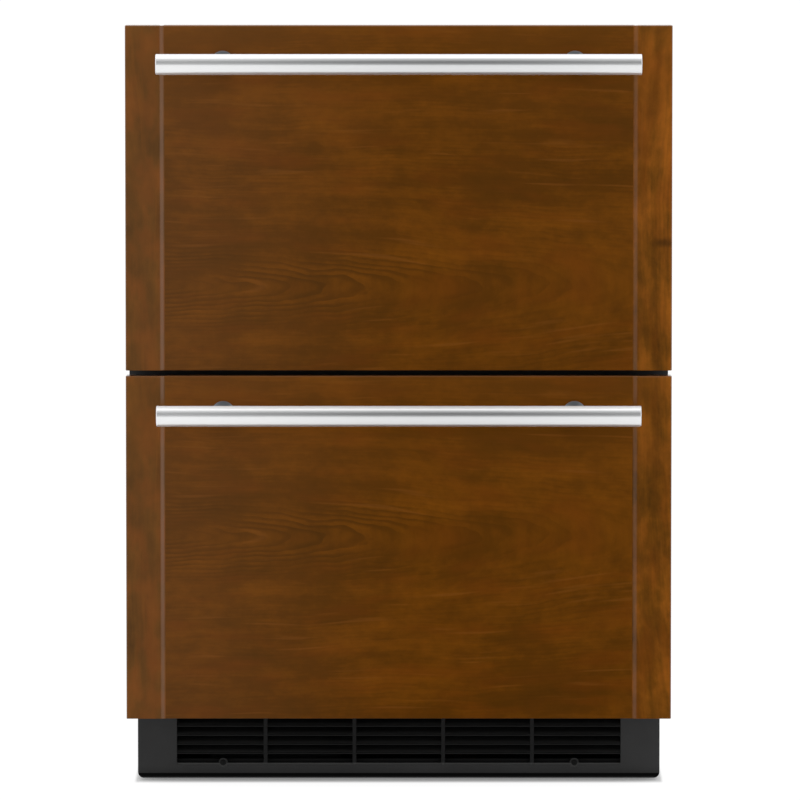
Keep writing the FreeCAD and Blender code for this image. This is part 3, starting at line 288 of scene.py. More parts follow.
def pick(kind, test):
    """Selects the vertices, edges or faces for which test(centre, direction) is true. The direction
    is a face's normal, an edge's unit vector or a vertex's normal."""
    bpy.ops.mesh.select_mode(type=kind)
    bpy.ops.mesh.select_all(action="DESELECT")
    mesh = bpy.context.object.data
    shape = bmesh.from_edit_mesh(mesh)
    if kind == "FACE":
        rows = [(f, f.calc_center_median(), f.normal) for f in shape.faces]
    elif kind == "EDGE":
        rows = []
        for e in shape.edges:
            first, last = (v.co for v in e.verts)
            rows.append((e, (first + last) / 2, (last - first).normalized()))
    else:
        rows = [(v, v.co, v.normal) for v in shape.verts]
    for item, centre, direction in rows:
        if test(centre, direction):
            item.select_set(True)
    shape.select_flush_mode()
    bmesh.update_edit_mesh(mesh)


def near(value, target, slack=0.05 * MM):
    return abs(value - target) < slack


def slide_by(x=0.0, y=0.0, z=0.0):
    bpy.ops.transform.translate(value=(x, y, z))


def extrude_by(x=0.0, y=0.0, z=0.0):
    bpy.ops.mesh.extrude_region_move(TRANSFORM_OT_translate={"value": (x, y, z)})


def round_edges(width, segments=3):
    bpy.ops.mesh.bevel(offset=width, segments=segments, affect="EDGES")


def close_piece(piece, angle=30):
    """Leaves edit mode with normals outwards and smooth shading across soft angles."""
    bpy.ops.mesh.select_all(action="SELECT")
    bpy.ops.mesh.normals_make_consistent(inside=False)
    bpy.ops.object.mode_set(mode="OBJECT")
    bpy.ops.object.shade_smooth_by_angle(angle=math.radians(angle))
    return piece


def copy_of(piece, name, offset):
    """A second piece with its own mesh, moved in the mesh."""
    twin = piece.copy()
    twin.data = piece.data.copy()
    twin.name = name
    bpy.context.scene.collection.objects.link(twin)
    twin.data.transform(Matrix.Translation(offset))
    return twin


def joined(name, pieces):
    """Several pieces as one."""
    fresh()
    for piece in pieces:
        piece.select_set(True)
    bpy.context.view_layer.objects.active = pieces[0]
    bpy.ops.object.join()
    pieces[0].name = name
    return pieces[0]


def seat(piece, body, slot, finish, *nodes):
    """Gives a finished piece its material, the body it moves with and the solids it stands for."""
    piece.data.materials.clear()
    piece.data.materials.append(finish.material)
    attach(piece, body)
    if nodes:
        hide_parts(*nodes)
    fresh()
    print(f"{piece.name}: {len(piece.data.polygons)} faces on {body}")


# %% [markdown]
# ## Floor, backdrop and light
# The catalogue page is pure white. The floor and the world show white to the camera, to reflections
# and through glass. A share of plain diffuse floor keeps a very faint shadow. That share grows in a
# narrow strip before the base, where the page shows a thin dark line of contact. The room's soft
# light comes from the world and from one wide softbox overhead.


# %% White floor
WHITE, BLACK = (1, 1, 1, 1), (0, 0, 0, 1)
FLOOR_SIZE = 240
FLOOR_DROP = 0.5 * MM
PAGE_GLOW = 1.12
# The share of the glowing page in what each kind of ray sees.
SEEN_WHITE, THROUGH_WHITE, MIRRORED_WHITE = 0.84, 0.78, 0.50
# How far the line of contact reaches, and how much of the page it takes away.
CONTACT_FRONT, CONTACT_SIDE = 28 * MM, 5 * MM
CONTACT_DARK = 0.64
plate_low, plate_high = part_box("kick_plate")


def ray_kinds(nodes):
    """1 or 0 for rays from the camera, mirrored rays and rays through glass."""
    kinds = nodes.node("LightPath", {}, {}, "Is Camera Ray").socket.node.outputs
    return [Value(kinds[f"Is {kind} Ray"]) for kind in ("Camera", "Glossy", "Transmission")]


def white_paper():
    """Paper that shows as the white page, with a little shadow and a line of contact."""
    paper = Finish("white_paper", Roughness=0.9, Specular_IOR_Level=0.0)
    paper.set("Base Color", (0.86, 0.86, 0.86, 1))
    x, y, _ = paper.parts(paper.spot)
    rear = cad_box[1][1]
    contact = paper.between(abs(x), plate_high.x, plate_high.x + CONTACT_SIDE, 1.0, 0.0)
    contact = contact * paper.between(y, plate_low.y - CONTACT_FRONT, plate_low.y)
    contact = contact * paper.between(y, rear, rear + CONTACT_SIDE, 1.0, 0.0)
    seen, mirrored, through = ray_kinds(paper)
    share = seen * (SEEN_WHITE - contact * CONTACT_DARK)
    share = share + through * THROUGH_WHITE + mirrored * MIRRORED_WHITE
    page = paper.node("Emission", {}, {"Color": WHITE, "Strength": PAGE_GLOW})
    plain = Value(paper.shader.outputs["BSDF"])
    lit = paper.node("MixShader", {}, {0: share, 1: plain, 2: page})
    plug(paper.tree.nodes["Material Output"].inputs["Surface"], lit)
    return paper


fresh()
bpy.ops.mesh.primitive_plane_add(size=FLOOR_SIZE, location=(0, 0, -FLOOR_DROP))
floor = bpy.context.object
floor.name = "studio_floor"
floor.data.materials.append(white_paper().material)
print("floor:", floor.name)

# %% White world
AMBIENT = 0.80
world = bpy.data.worlds.new("studio_world")
bpy.context.scene.world = world
world.use_nodes = True
seen, mirrored, through = ray_kinds(Nodes(world.node_tree))
backdrop = world.node_tree.nodes["Background"]
plug(backdrop.inputs["Color"], WHITE)
plug(backdrop.inputs["Strength"], AMBIENT + (seen + mirrored + through) * (1 - AMBIENT))
print("world:", world.name)

# %% Softbox
SOFTBOX_W, SOFTBOX_D = 3.6, 1.8
SOFTBOX_PLACE = (0, -0.5, 3.2)
SOFTBOX_GLOW = 1.7
fresh()
bpy.ops.object.light_add(type="AREA", location=SOFTBOX_PLACE)
softbox = bpy.context.object
softbox.name = "overhead_softbox"
softbox.data.shape = "RECTANGLE"
softbox.data.size, softbox.data.size_y = SOFTBOX_W, SOFTBOX_D
softbox.data.energy = SOFTBOX_GLOW * math.pi * SOFTBOX_W * SOFTBOX_D
softbox.visible_glossy = False
print("softbox:", round(softbox.data.energy, 1), "W")

# %% [markdown]
# ## A card for the steel to look at
# A polished bar is a picture of its room. In the catalogue each bar carries a white band on top, a
# dark line above the middle and a bright lower half. A photographer gets that with a long curved
# card, white overhead and darkening to black felt in front. Here it is a slice of a wide tube round
# the freezer, and only reflections see it. The tube is far larger than the freezer, so both bars
# get the same line.

# %% The curved card
CARD_RADIUS, CARD_W, CARD_END = 6.0, 6.0, 118.0
CARD_PEAK = 1.4
# Two angles in degrees above the front horizon, and the light that is added at each.
HORIZON_GLOW = (3, 24, 0.33, 0.0)
RISING_GLOW = (40, 58, 0.0, 0.40)
OVERHEAD_GLOW = (62, 86, 0.0, 0.90)
REAR_FADE = (98, CARD_END, 0.0, -0.50)
AXIS_Y, AXIS_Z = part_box("lower_handle_bar")[0].y, 0.6


def card_angle(place):
    """Degrees above the front horizon, as seen from the bars."""
    return math.degrees(math.atan2(place.z - AXIS_Z, AXIS_Y - place.y))


def card_felt():
    """Felt whose glow depends on its angle. Each band adds its light to the one before."""
    felt = Finish("card_felt", Base_Color=BLACK, Roughness=1.0, Specular_IOR_Level=0.0)
    _, y, z = felt.parts(felt.spot)
    turn = felt.node("Math", {"operation": "ARCTAN2"}, {0: z - AXIS_Z, 1: AXIS_Y - y})
    angle = turn * (180 / math.pi)
    bands = (HORIZON_GLOW, RISING_GLOW, OVERHEAD_GLOW, REAR_FADE)
    glow = sum(felt.between(angle, *band) for band in bands)
    felt.set("Emission Color", felt.blend(glow / CARD_PEAK, BLACK, WHITE))
    felt.set("Emission Strength", CARD_PEAK)
    return felt


fresh()
bpy.ops.mesh.primitive_cylinder_add(
    vertices=180, radius=CARD_RADIUS, depth=CARD_W, end_fill_type="NOTHING",
    location=(0, AXIS_Y, AXIS_Z), rotation=TURNS["X"],
)
card = open_piece("studio_card")
pick("FACE", lambda c, d: not 0 < card_angle(c) < CARD_END)
bpy.ops.mesh.delete(type="FACE")
bpy.ops.object.mode_set(mode="OBJECT")
card.visible_camera = False
card.visible_diffuse = False
card.visible_shadow = False
card.visible_transmission = False
card.data.materials.append(card_felt().material)
print("card faces:", len(card.data.polygons))

# %% [markdown]
# ## Stained cherry
# Cherry is a quiet wood. A flat-sawn board shows growth rings as long loops that close at one end,
# because the saw crosses the trunk's cone at a shallow angle. So the rings are a real distance:
# from the trunk's axis, which lies behind the board and is tilted to it. Noise bends the distance a
# little, a broad blotchy noise carries the uneven stain, and noises drawn out along the grain give
# streaks and fibres. Three cuts of the tree are used: quiet loops for the boards, curly figure on
# the left, streaks with pale sapwood on the right. A picture of wood would be quicker, but it would
# neither scale nor turn.


# %% Where a point lies in the tree
RING = 4.4 * MM
RING_TILT = 0.11  # how far the trunk's axis sinks per metre of board
SWAY, DRIFT = 20 * MM, 10 * MM  # how far the axis wanders and the rings bend


def trunk(wood, heart, upright):
    """Lays a board into the tree. Gives a point's place in the board's own directions, the same
    with the distance from the trunk's axis as its depth, the rings up to it and their drift."""
    turn = (0, math.pi / 2 if upright else 0, 0)
    sockets = {"Vector": wood.spot, "Location": heart, "Rotation": turn}
    spot = wood.node("Mapping", {"vector_type": "TEXTURE"}, sockets)
    along, deep, across = wood.parts(spot)
    drift = wood.noise(spot, (18, 6, 34)) - 0.5
    side = across + (wood.noise(spot, (5, 3, 8)) - 0.5) * SWAY
    depth = along * RING_TILT + deep
    radius = (side * side + depth * depth) ** 0.5
    grain = wood.node("CombineXYZ", {}, {"X": along, "Y": across, "Z": radius})
    return spot, grain, (radius + drift * DRIFT) / RING, drift


def late_wood(wood, spot, ring):
    """The dark end of each year's growth: in patches, and weaker away from the heart."""
    phase = wood.node("Math", {"operation": "FRACT"}, {0: ring})
    patch = wood.between(wood.noise(spot, (8, 4, 20)), 0.36, 0.64)
    late = wood.between(phase, 0.30, 0.90) * wood.between(phase, 0.91, 1.0, 1.0, 0.0)
    return late * patch * wood.between(ring, 6.0, 13.0, 1.0, 0.22)


# %% Bevels and rims that catch the light
BEVEL_W, BEVEL_SOFT = 6.0 * MM, 2.2 * MM
EASE = 1.5 * MM
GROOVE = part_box("upper_panel_board")[1].x
PANEL_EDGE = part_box("upper_panel_stiles")[1].x


def lit_edges(wood, x, z, top):
    """1 on the bevels beside the board and on the eased rims, 0 elsewhere."""
    off_middle, crest = abs(x), GROOVE + BEVEL_W
    slope = wood.between(off_middle, GROOVE - 0.2 * MM, GROOVE + BEVEL_SOFT)
    slope = slope * wood.between(off_middle, crest - BEVEL_SOFT, crest, 1.0, 0.0)
    rim = wood.between(off_middle, PANEL_EDGE - EASE, PANEL_EDGE - EASE / 2)
    return slope, rim + wood.between(z, top - EASE, top - EASE / 2)


print("grooves at", round(GROOVE / MM, 1), "mm from the middle")

# %% One wood for boards and stiles
KNOT_WAVE = 20 * MM
KNOT_CORE, KNOT_REACH = 1 * MM, 9 * MM
KNOT_SQUASH = 0.16


def knot_dark(wood, off_x, off_z):
    """A knot drawn out along X, strong at its core."""
    far = (off_x * off_x * KNOT_SQUASH + off_z * off_z) ** 0.5
    return wood.between(far, KNOT_CORE, KNOT_REACH, 0.62, 0.0)


def cherry(name, heart, top, upright, cut, knot=None):
    """Varnished cherry. heart is where the trunk's axis comes out of the board, top the level of
    its upper edge, upright turns the grain, cut says what this cut of the tree shows, knot where a
    knot is."""
    wood = Finish(name, Specular_IOR_Level=0.03, Coat_Roughness=0.12)
    x, _, z = wood.parts(wood.spot)
    spot, grain, ring, drift = trunk(wood, heart, upright)
    late = late_wood(wood, spot, ring)

    blotch = wood.between(wood.noise(grain, (15, 10, 30)), 0.26, 0.74) - 0.5
    cloud = wood.between(wood.noise(spot, (3, 3, 6)), 0.30, 0.70) - 0.5
    figure = wood.noise(spot, (24, 20, 48)) - 0.5
    mottle = wood.noise(grain, (75, 30, 130), 3.0, 0.6) - 0.5
    ribbon = wood.between(wood.noise(grain, (7, 12, 95), 3.0), 0.28, 0.72) - 0.5
    fibre = wood.noise(grain, (26, 60, 620)) - 0.5
    pale, dark = 0.3 * cut["sapwood"], -0.7 * cut["sapwood"]
    tone = 0.57 - late * cut["rings"] + blotch * cut["stain"] + cloud * cut["cloud"]
    tone = tone + mottle * cut["mottle"] + ribbon * cut["streak"] + figure * cut["curl"]
    tone = tone + fibre * 0.12 + wood.between(x, GROOVE, PANEL_EDGE, dark, pale)
    stops = list(zip((0.0, 0.5, 1.0), cut["tones"]))
    colour = wood.node("ValToRGB", {"stops": stops}, {"Fac": tone}, "Color")

    red = wood.between(wood.noise(grain, (10, 9, 50)), 0.48, 0.74, 0.0, 0.40)
    warm = wood.between(figure, -0.10, 0.14, 0.0, 0.45 * cut["curl"])
    thread = wood.between(wood.noise(grain, (10, 8, 190), 1.0), 0.63, 0.76, 0.0, 0.36)
    layers = [(red, srgb(108, 54, 5)), (warm, srgb(120, 60, 18)), (thread, srgb(126, 74, 22))]
    if knot:
        shadow = knot_dark(wood, x - knot[0], z - knot[1] + drift * KNOT_WAVE)
        layers.append((shadow, srgb(44, 28, 6)))
    # Painted sheen: a greyish veil, strongest on the left and growing slightly towards the top.
    painted_sheen = wood.between(x, -0.32, 0.05, 0.18, 0.0) + wood.between(z, 0.10, 0.85, 0.0, 0.03)
    # Painted light: the wood grows lighter towards each front's upper edge.
    painted_top_light = wood.between(z, top - 0.16, top, 0.0, 0.12)
    slope, rim = lit_edges(wood, x, z, top)
    glint = wood.between(x, -0.25, 0.25, 1.0, 0.0) * wood.between(z, 0.06, 0.34, 0.35, 1.0)
    # Painted highlight: the bevels and eased rims are lightened in the colour, most in the middle
    # of each front; the coat weight below is real gloss.
    painted_edge_highlight = slope * (glint * 0.27 + 0.15) + rim * 0.4
    layers += [(painted_sheen, srgb(124, 90, 64)), (painted_top_light, srgb(150, 90, 30)), (painted_edge_highlight, srgb(130, 88, 56))]
    wood.set("Base Color", wood.layered(colour, layers))
    wood.set("Coat Weight", slope * (glint * 0.42 + 0.48) + rim * 0.7)
    wood.set("Roughness", 0.42 + fibre * 0.12 + blotch * 0.05)
    wood.bump(fibre + ribbon * 0.5, 0.10, 0.0003)
    return wood


# %% Three cuts of the tree
CUTS = {
    "board": {
        "tones": (srgb(64, 38, 2), srgb(90, 51, 3), srgb(132, 75, 8)),
        "rings": 0.25, "stain": 0.20, "cloud": 0.20, "mottle": 0.32,
        "streak": 0.12, "curl": 0.08, "sapwood": 0.0,
    },
    "left": {
        "tones": (srgb(58, 38, 10), srgb(102, 64, 20), srgb(144, 86, 30)),
        "rings": 0.06, "stain": 0.30, "cloud": 0.20, "mottle": 0.28,
        "streak": 0.06, "curl": 0.80, "sapwood": 0.0,
    },
    "right": {
        "tones": (srgb(42, 28, 5), srgb(108, 64, 12), srgb(160, 92, 24)),
        "rings": 0.10, "stain": 0.36, "cloud": 0.16, "mottle": 0.52,
        "streak": 0.30, "curl": 0.34, "sapwood": 0.24,
    },
}
print("cuts:", ", ".join(CUTS))

# %% [markdown]
# ## Drawer fronts
# Each front is a wide board with upright stiles at both ends. A stile stands a little proud and
# meets the board in a long shallow bevel, which shows as a thin pale line: the slope catches the
# light, and a painted highlight in the wood's colour adds to it. A board is a cube whose front
# edges are eased; a stile is a cube whose inner front edge is pushed back, so the bevel is a real
# slope.


# %% Boards and stiles
def front_board(drawer):
    low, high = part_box(f"{drawer}_panel_board")
    board = block(f"{drawer}_board", low, high)
    pick("EDGE", lambda c, d: near(c.y, low.y) and abs(d.x) > 0.9)
    round_edges(EASE)
    return close_piece(board)


def stile(drawer, hand, side):
    """One stile. Its inner front edge slopes back to the board, its other front edges are eased."""
    low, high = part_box(f"{drawer}_panel_stiles")
    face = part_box(f"{drawer}_panel_board")[0].y
    inner, outer = side * GROOVE, side * high.x
    middle, crest = (inner + outer) / 2, inner + side * BEVEL_W
    left, right = sorted((inner, outer))
    piece = block(f"{drawer}_{hand}_stile", (left, low.y, low.z), (right, high.y, high.z))
    pick("EDGE", lambda c, d: near(c.y, low.y) and abs(d.x) > 0.9)
    bpy.ops.mesh.subdivide(number_cuts=1)
    pick("VERT", lambda c, d: near(c.y, low.y) and near(c.x, middle))
    slide_by(x=crest - middle)
    pick("VERT", lambda c, d: near(c.y, low.y) and near(c.x, inner))
    slide_by(y=face - low.y)
    pick("EDGE", lambda c, d: near(c.y, low.y) and near(c.x, outer))
    round_edges(EASE)

    def at_front_ends(c, d):
        return c.y < face + EASE / 2 and abs(d.z) < 0.1 and not low.z + MM < c.z < high.z - MM

    pick("EDGE", at_front_ends)
    round_edges(EASE / 2, 2)
    return close_piece(piece, 12)


BOTH = ("upper", "lower")
# Where the trunk's axis comes out of each board and stile.
BOARD_HEART_X, STILE_HEART_X = -0.275, 0.33
BOARD_HEARTS = {"upper": 0.560, "lower": 0.281}
LEFT_HEARTS = {"upper": 0.530, "lower": 0.251}
RIGHT_HEARTS = {"upper": 0.590, "lower": 0.520}
KNOTS = {"upper": (0.296, 0.612), "lower": None}
for drawer in BOTH:
    body = f"{drawer}_drawer"
    low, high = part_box(f"{drawer}_panel_board")
    face, top = low.y, high.z
    heart = (BOARD_HEART_X, face, BOARD_HEARTS[drawer])
    wood = cherry(f"{drawer}_board_cherry", heart, top, False, CUTS["board"])
    seat(front_board(drawer), body, "wood_board", wood, f"{drawer}_panel_board")
    heart = (-STILE_HEART_X, face, LEFT_HEARTS[drawer])
    wood = cherry(f"{drawer}_left_cherry", heart, top, True, CUTS["left"])
    seat(stile(drawer, "left", -1), body, "wood_stile", wood, f"{drawer}_panel_stiles")
    heart = (STILE_HEART_X, face, RIGHT_HEARTS[drawer])
    wood = cherry(f"{drawer}_right_cherry", heart, top, True, CUTS["right"], KNOTS[drawer])
    seat(stile(drawer, "right", 1), body, "wood_stile", wood, f"{drawer}_panel_stiles")

# %% [markdown]
# ## Bar handles
# The bar is a steel round, brushed along its length, on two posts. Brushing spreads a reflection
# across the scratches, so the bar shows soft lengthwise bands of what is above, in front and below.
# A painted highlight makes the ends and the crown paler and less metallic than the middle. The bar
# is a cylinder with its rims rounded; a post is drawn out from a flange by extruding and narrowing
# its face, as a lathe would turn it.


# %% Brushed steel
STEEL_TINT, HIGHLIGHT_TINT = (0.82, 0.83, 0.835, 1), (0.96, 0.965, 0.97, 1)
# The posts' dark steel tint is painted shade: they sit in the shadow of the bar.
POST_SHADE_TINT = (0.267, 0.285, 0.310, 1)
# Where along the bar the painted highlight is weakest, and how far out it grows full.
DIM_MIDDLE_X, HIGHLIGHT_REACH = 0.06, 0.36
CROWN_HIGHLIGHT_H = 4.6 * MM


def brushed_steel(name, tint, roughness):
    steel = Finish(name, Metallic=0.7)
    fine = steel.noise(steel.spot, (14, 1500, 1500), 3.0)
    broad = steel.noise(steel.spot, (3, 120, 120))
    shade = steel.between(fine * 0.6 + broad * 0.4, 0.25, 0.75)
    darker = tuple(0.93 * c for c in tint[:3]) + (1.0,)
    steel.colour = steel.blend(shade, darker, tint)
    steel.set("Base Color", steel.colour)
    steel.set("Roughness", roughness + (fine - 0.5) * 0.10)
    steel.bump(fine, 0.04, 0.0001)
    return steel


def bar_steel(drawer):
    """Brushed steel with a painted highlight: its ends and its crown are paler and less metallic.
    """
    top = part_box(f"{drawer}_handle_bar")[1].z
    steel = brushed_steel(f"{drawer}_bar_steel", STEEL_TINT, 0.17)
    x, _, z = steel.parts(steel.spot)
    # Painted highlight: the ends and the crown get a paler, less metallic colour, standing in for
    # the room's light on the steel.
    ends = steel.between(abs(x - DIM_MIDDLE_X), 0.0, HIGHLIGHT_REACH)
    crown_highlight = steel.between(z, top - CROWN_HIGHLIGHT_H, top - CROWN_HIGHLIGHT_H / 2)
    steel.set("Metallic", 0.73 - ends * 0.17 - crown_highlight * 0.50)
    steel.set("Base Color", steel.blend(ends + crown_highlight * 0.8, steel.colour, HIGHLIGHT_TINT))
    return steel


# %% Bars and posts
BAR_ROUNDING = 0.9 * MM
POST_FLANGE = 3.0 * MM
# Each face's width as a share of the last one's, and the step to it.
POST_TURNING = ((0.93, 0.5 * MM), (0.72, 0.5 * MM), (0.80, 1.0 * MM), (1.0, 2.0 * MM))
POST_STOP = 0.55  # the share of the bar's depth where the stem ends


def bar(drawer):
    low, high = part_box(f"{drawer}_handle_bar")
    radius = (high.z - low.z) / 2
    piece = round_bar(f"{drawer}_bar", (low + high) / 2, "X", radius, high.x - low.x, 96)
    for end in (low.x, high.x):
        pick("EDGE", lambda c, d: near(c.x, end))
        round_edges(BAR_ROUNDING)
    return close_piece(piece)


def post(drawer, hand, side):
    """A flange on the wood, a waist and a stem that runs into the back of the bar."""
    low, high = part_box(f"{drawer}_handle_posts")
    bar_low, bar_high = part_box(f"{drawer}_handle_bar")
    radius = (high.z - low.z) / 2
    x, z = side * (high.x - radius), (low.z + high.z) / 2
    centre = (x, high.y - POST_FLANGE / 2, z)
    piece = round_bar(f"{drawer}_{hand}_post", centre, "Y", radius, POST_FLANGE, 64)
    front = high.y - POST_FLANGE
    waist = front - sum(step for _, step in POST_TURNING)
    stem = waist - bar_low.y - (bar_high.y - bar_low.y) * POST_STOP
    for share, step in (*POST_TURNING, (1.0, stem)):
        pick("FACE", lambda c, d: near(c.y, front) and d.y < -0.9)
        extrude_by(y=-step)
        bpy.ops.transform.resize(value=(share, 1, share), center_override=(x, 0, z))
        front -= step
    return close_piece(piece, 40)


post_steel = brushed_steel("post_steel", POST_SHADE_TINT, 0.34)
for drawer in BOTH:
    body = f"{drawer}_drawer"
    seat(bar(drawer), body, "handle_steel", bar_steel(drawer), f"{drawer}_handle_bar")
    for hand, side in (("left", -1), ("right", 1)):
        piece = post(drawer, hand, side)
        seat(piece, body, "handle_steel", post_steel, f"{drawer}_handle_posts")

# %% [markdown]
# ## Toe kick
# Under the drawers a black kick plate closes the base. Its window holds a moulded grille: slanted
# louvres between upright ribs, so that air gets in and nobody sees the machine. One louvre is
# modelled, a thin cube whose rear is lifted and whose nose is rounded, and then it is copied up the
# window. The frame is a cube pierced by bridging two inset faces. The black isn't even: the front
# faces carry painted shade, the louvres' slopes painted light and the window's lip a painted
# highlight.


# %% Powder coat and moulded black
FOLD_LOW, FOLD_HIGH = 7.2 * MM, 8.6 * MM  # where the folded edge ends
SHADE_LOW, SHADE_HIGH = 8.0 * MM, 17.0 * MM  # where the shade above it ends


def coated(name, colour, roughness, grain, bump, wear=0.25, specular=0.5):
    """Paint or moulded plastic: a fine orange-peel skin over a slightly uneven colour."""
    paint = Finish(name, Specular_IOR_Level=specular)
    skin = paint.noise(paint.spot, (grain, grain, grain))
    haze = paint.noise(paint.spot, (9, 9, 9), 4.0, 0.6)
    darker = tuple(c * (1 - wear) for c in colour[:3]) + (1.0,)
    lighter = tuple(c * (1 + wear) for c in colour[:3]) + (1.0,)
    shade = paint.between(haze * 0.75 + skin * 0.25, 0.3, 0.7)
    paint.colour = paint.blend(shade, darker, lighter)
    paint.set("Base Color", paint.colour)
    paint.set("Roughness", roughness + (haze - 0.5) * 0.15 + (skin - 0.5) * 0.10)
    paint.bump(skin, bump, 0.0002)
    return paint


def kick_coat():
    """Powder coat with painted shade: darker towards the floor and darkest on the folded lower
    edge.
    """
    paint = coated("kick_powder_coat", (0.032, 0.032, 0.032, 1), 0.42, 1400, 0.12, 0.2, 0.22)
    up = paint.parts(paint.spot)[2]
    fold = paint.between(up, FOLD_LOW, FOLD_HIGH, 1.0, 0.0)
    shade = paint.between(up, SHADE_LOW, SHADE_HIGH, 0.35, 0.0) + fold
    paint.set("Base Color", paint.blend(shade, paint.colour, (0.004, 0.004, 0.004, 1)))
    paint.set("Metallic", fold)
    return paint


# %% Sizes of the grille
WINDOW_HALF = 249.0 * MM
CLEARANCE = 0.4 * MM
SILL = 17.0 * MM
LIP = 2.2 * MM
HEAD = 78.0 * MM
LOUVRES = 5
FIRST_Z = SILL + 12.0 * MM
PITCH_Z = 10.25 * MM
LOUVRE_T = 1.8 * MM
LOUVRE_RISE = 8.0 * MM
LOUVRE_DEPTH = 13.6 * MM
NOSE = 0.75 * MM
BAYS = 5
RIB_W = 4.5 * MM
RIB_DEPTH = 8.0 * MM
RIB_ROUNDING = 0.8 * MM
FLANGE_T = 2.0 * MM
FLANGE_INSET = 4.0 * MM
BOSS_R = 5.0 * MM
BOSS_L = 6.5 * MM
BOSS_WALL = 1.2 * MM
BOSS_MOUTH = 0.3 * MM
SCREW_X = 197.0 * MM
SCREW_Z = 19.5 * MM
FACE_Y = plate_low.y + 0.4 * MM  # louvres and ribs
BACK_Y = plate_low.y + 1.2 * MM  # flange
SEAT_Y = plate_low.y + 2.0 * MM  # bosses and screw heads
grille_low, grille_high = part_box("kick_grille")
print("grille:", LOUVRES, "louvres,", BAYS - 1, "ribs")


# %% The louvred grille
def grille_with_painted_light():
    """Moulded black. Its front faces carry painted shade, the slopes just behind them painted light
    and the lip a painted highlight.
    """
    black = coated("grille_moulding", (0.010, 0.010, 0.010, 1), 0.5, 1800, 0.08, 0.25, 0.20)
    _, depth, height = black.parts(black.spot)
    behind, lip_top = depth - FACE_Y, SILL + LIP
    # Painted shade on the front faces, painted light on the slopes just behind them.
    painted_front_shade = black.between(behind, 0.0, 0.3 * MM, 0.55, 0.0)
    painted_slope_light = black.between(behind, 0.4 * MM, 1.2 * MM)
    painted_slope_light = painted_slope_light * black.between(behind, 1.0 * MM, 7.0 * MM, 0.75, 0.0)
    # Painted highlight along the top of the window's lip.
    painted_lip_highlight = black.between(height, lip_top, lip_top + 0.4 * MM, 1.0, 0.0)
    painted_lip_highlight = painted_lip_highlight * black.between(behind, 1.0 * MM, 1.4 * MM, 1.0, 0.0)
    layers = [(painted_front_shade, (0.001, 0.001, 0.001, 1))]
    layers += [(painted_slope_light, (0.040, 0.040, 0.039, 1)), (painted_lip_highlight, (0.058, 0.058, 0.057, 1))]
    black.set("Base Color", black.layered(black.colour, layers))
    return black


def louvre():
    """One blade: its rear lifted, its nose rounded."""
    half, rear = WINDOW_HALF - CLEARANCE, FACE_Y + LOUVRE_DEPTH
    piece = block("louvre", (-half, FACE_Y, FIRST_Z), (half, rear, FIRST_Z + LOUVRE_T))
    pick("VERT", lambda c, d: near(c.y, rear))
    slide_by(z=LOUVRE_RISE)
    pick("EDGE", lambda c, d: abs(d.x) > 0.9)
    round_edges(NOSE)
    return close_piece(piece)


def pierced(name, low, high, hole_low, hole_high):
    """A plate across Y with a window through it."""
    piece = block(name, low, high)
    pick("FACE", lambda c, d: abs(d.y) > 0.9)
    margin = min(hole_low[0] - low[0], FLANGE_INSET)
    bpy.ops.mesh.inset(thickness=margin)
    for axis in (0, 2):
        for rim, hole, inwards in ((low, hole_low, 1), (high, hole_high, -1)):
            edge = rim[axis] + inwards * margin
            pick("VERT", lambda c, d: near(c[axis], edge))
            step = [0.0, 0.0, 0.0]
            step[axis] = hole[axis] - edge
            slide_by(*step)
    x, z = ((hole_low[axis] + hole_high[axis]) / 2 for axis in (0, 2))
    pick("FACE", lambda c, d: abs(d.y) > 0.9 and near(c.x, x) and near(c.z, z))
    bpy.ops.mesh.bridge_edge_loops()
    return close_piece(piece)


def rib(x):
    """One upright between the louvres, with its front edges rounded."""
    low = (x - RIB_W / 2, FACE_Y, SILL + CLEARANCE)
    high = (x + RIB_W / 2, FACE_Y + RIB_DEPTH, HEAD - CLEARANCE)
    piece = block("rib", low, high)
    pick("EDGE", lambda c, d: near(c.y, FACE_Y) and abs(d.z) > 0.9)
    round_edges(RIB_ROUNDING)
    return close_piece(piece)


def boss(side):
    """A screw boss with a hollow mouth."""
    centre = (side * SCREW_X, SEAT_Y + BOSS_L / 2, SCREW_Z)
    piece = round_bar("boss", centre, "Y", BOSS_R, BOSS_L, 40)
    pick("FACE", lambda c, d: d.y < -0.9)
    bpy.ops.mesh.inset(thickness=BOSS_WALL)
    extrude_by(y=BOSS_MOUTH)
    return close_piece(piece)


grille_black = grille_with_painted_light()
first = louvre()
blades = [first]
for step in range(1, LOUVRES):
    blades.append(copy_of(first, f"louvre_{step}", (0, 0, step * PITCH_Z)))
flange = pierced(
    "grille_flange",
    (grille_low.x, BACK_Y, grille_low.z),
    (grille_high.x, BACK_Y + FLANGE_T, grille_high.z),
    (-WINDOW_HALF + CLEARANCE, BACK_Y, SILL + LIP),
    (WINDOW_HALF - CLEARANCE, BACK_Y + FLANGE_T, HEAD),
)
ribs = [rib((k / BAYS - 0.5) * 2 * WINDOW_HALF) for k in range(1, BAYS)]
grille = joined("louvre_grille", [flange, *blades, *ribs, boss(-1), boss(1)])
seat(grille, "cabinet", "grille_black", grille_black, "kick_grille")


# %% Grille screws
SCREW_R = 3.3 * MM
HEAD_T = 1.6 * MM
DOME, RECESS = 0.55, 0.45  # shares of the head's thickness
ARM_REACH, ARM_W = 0.55, 0.16  # shares of the head's radius
SHANK_R = 1.95 * MM
SHANK_L = 16.0 * MM
TIP = 0.8 * MM


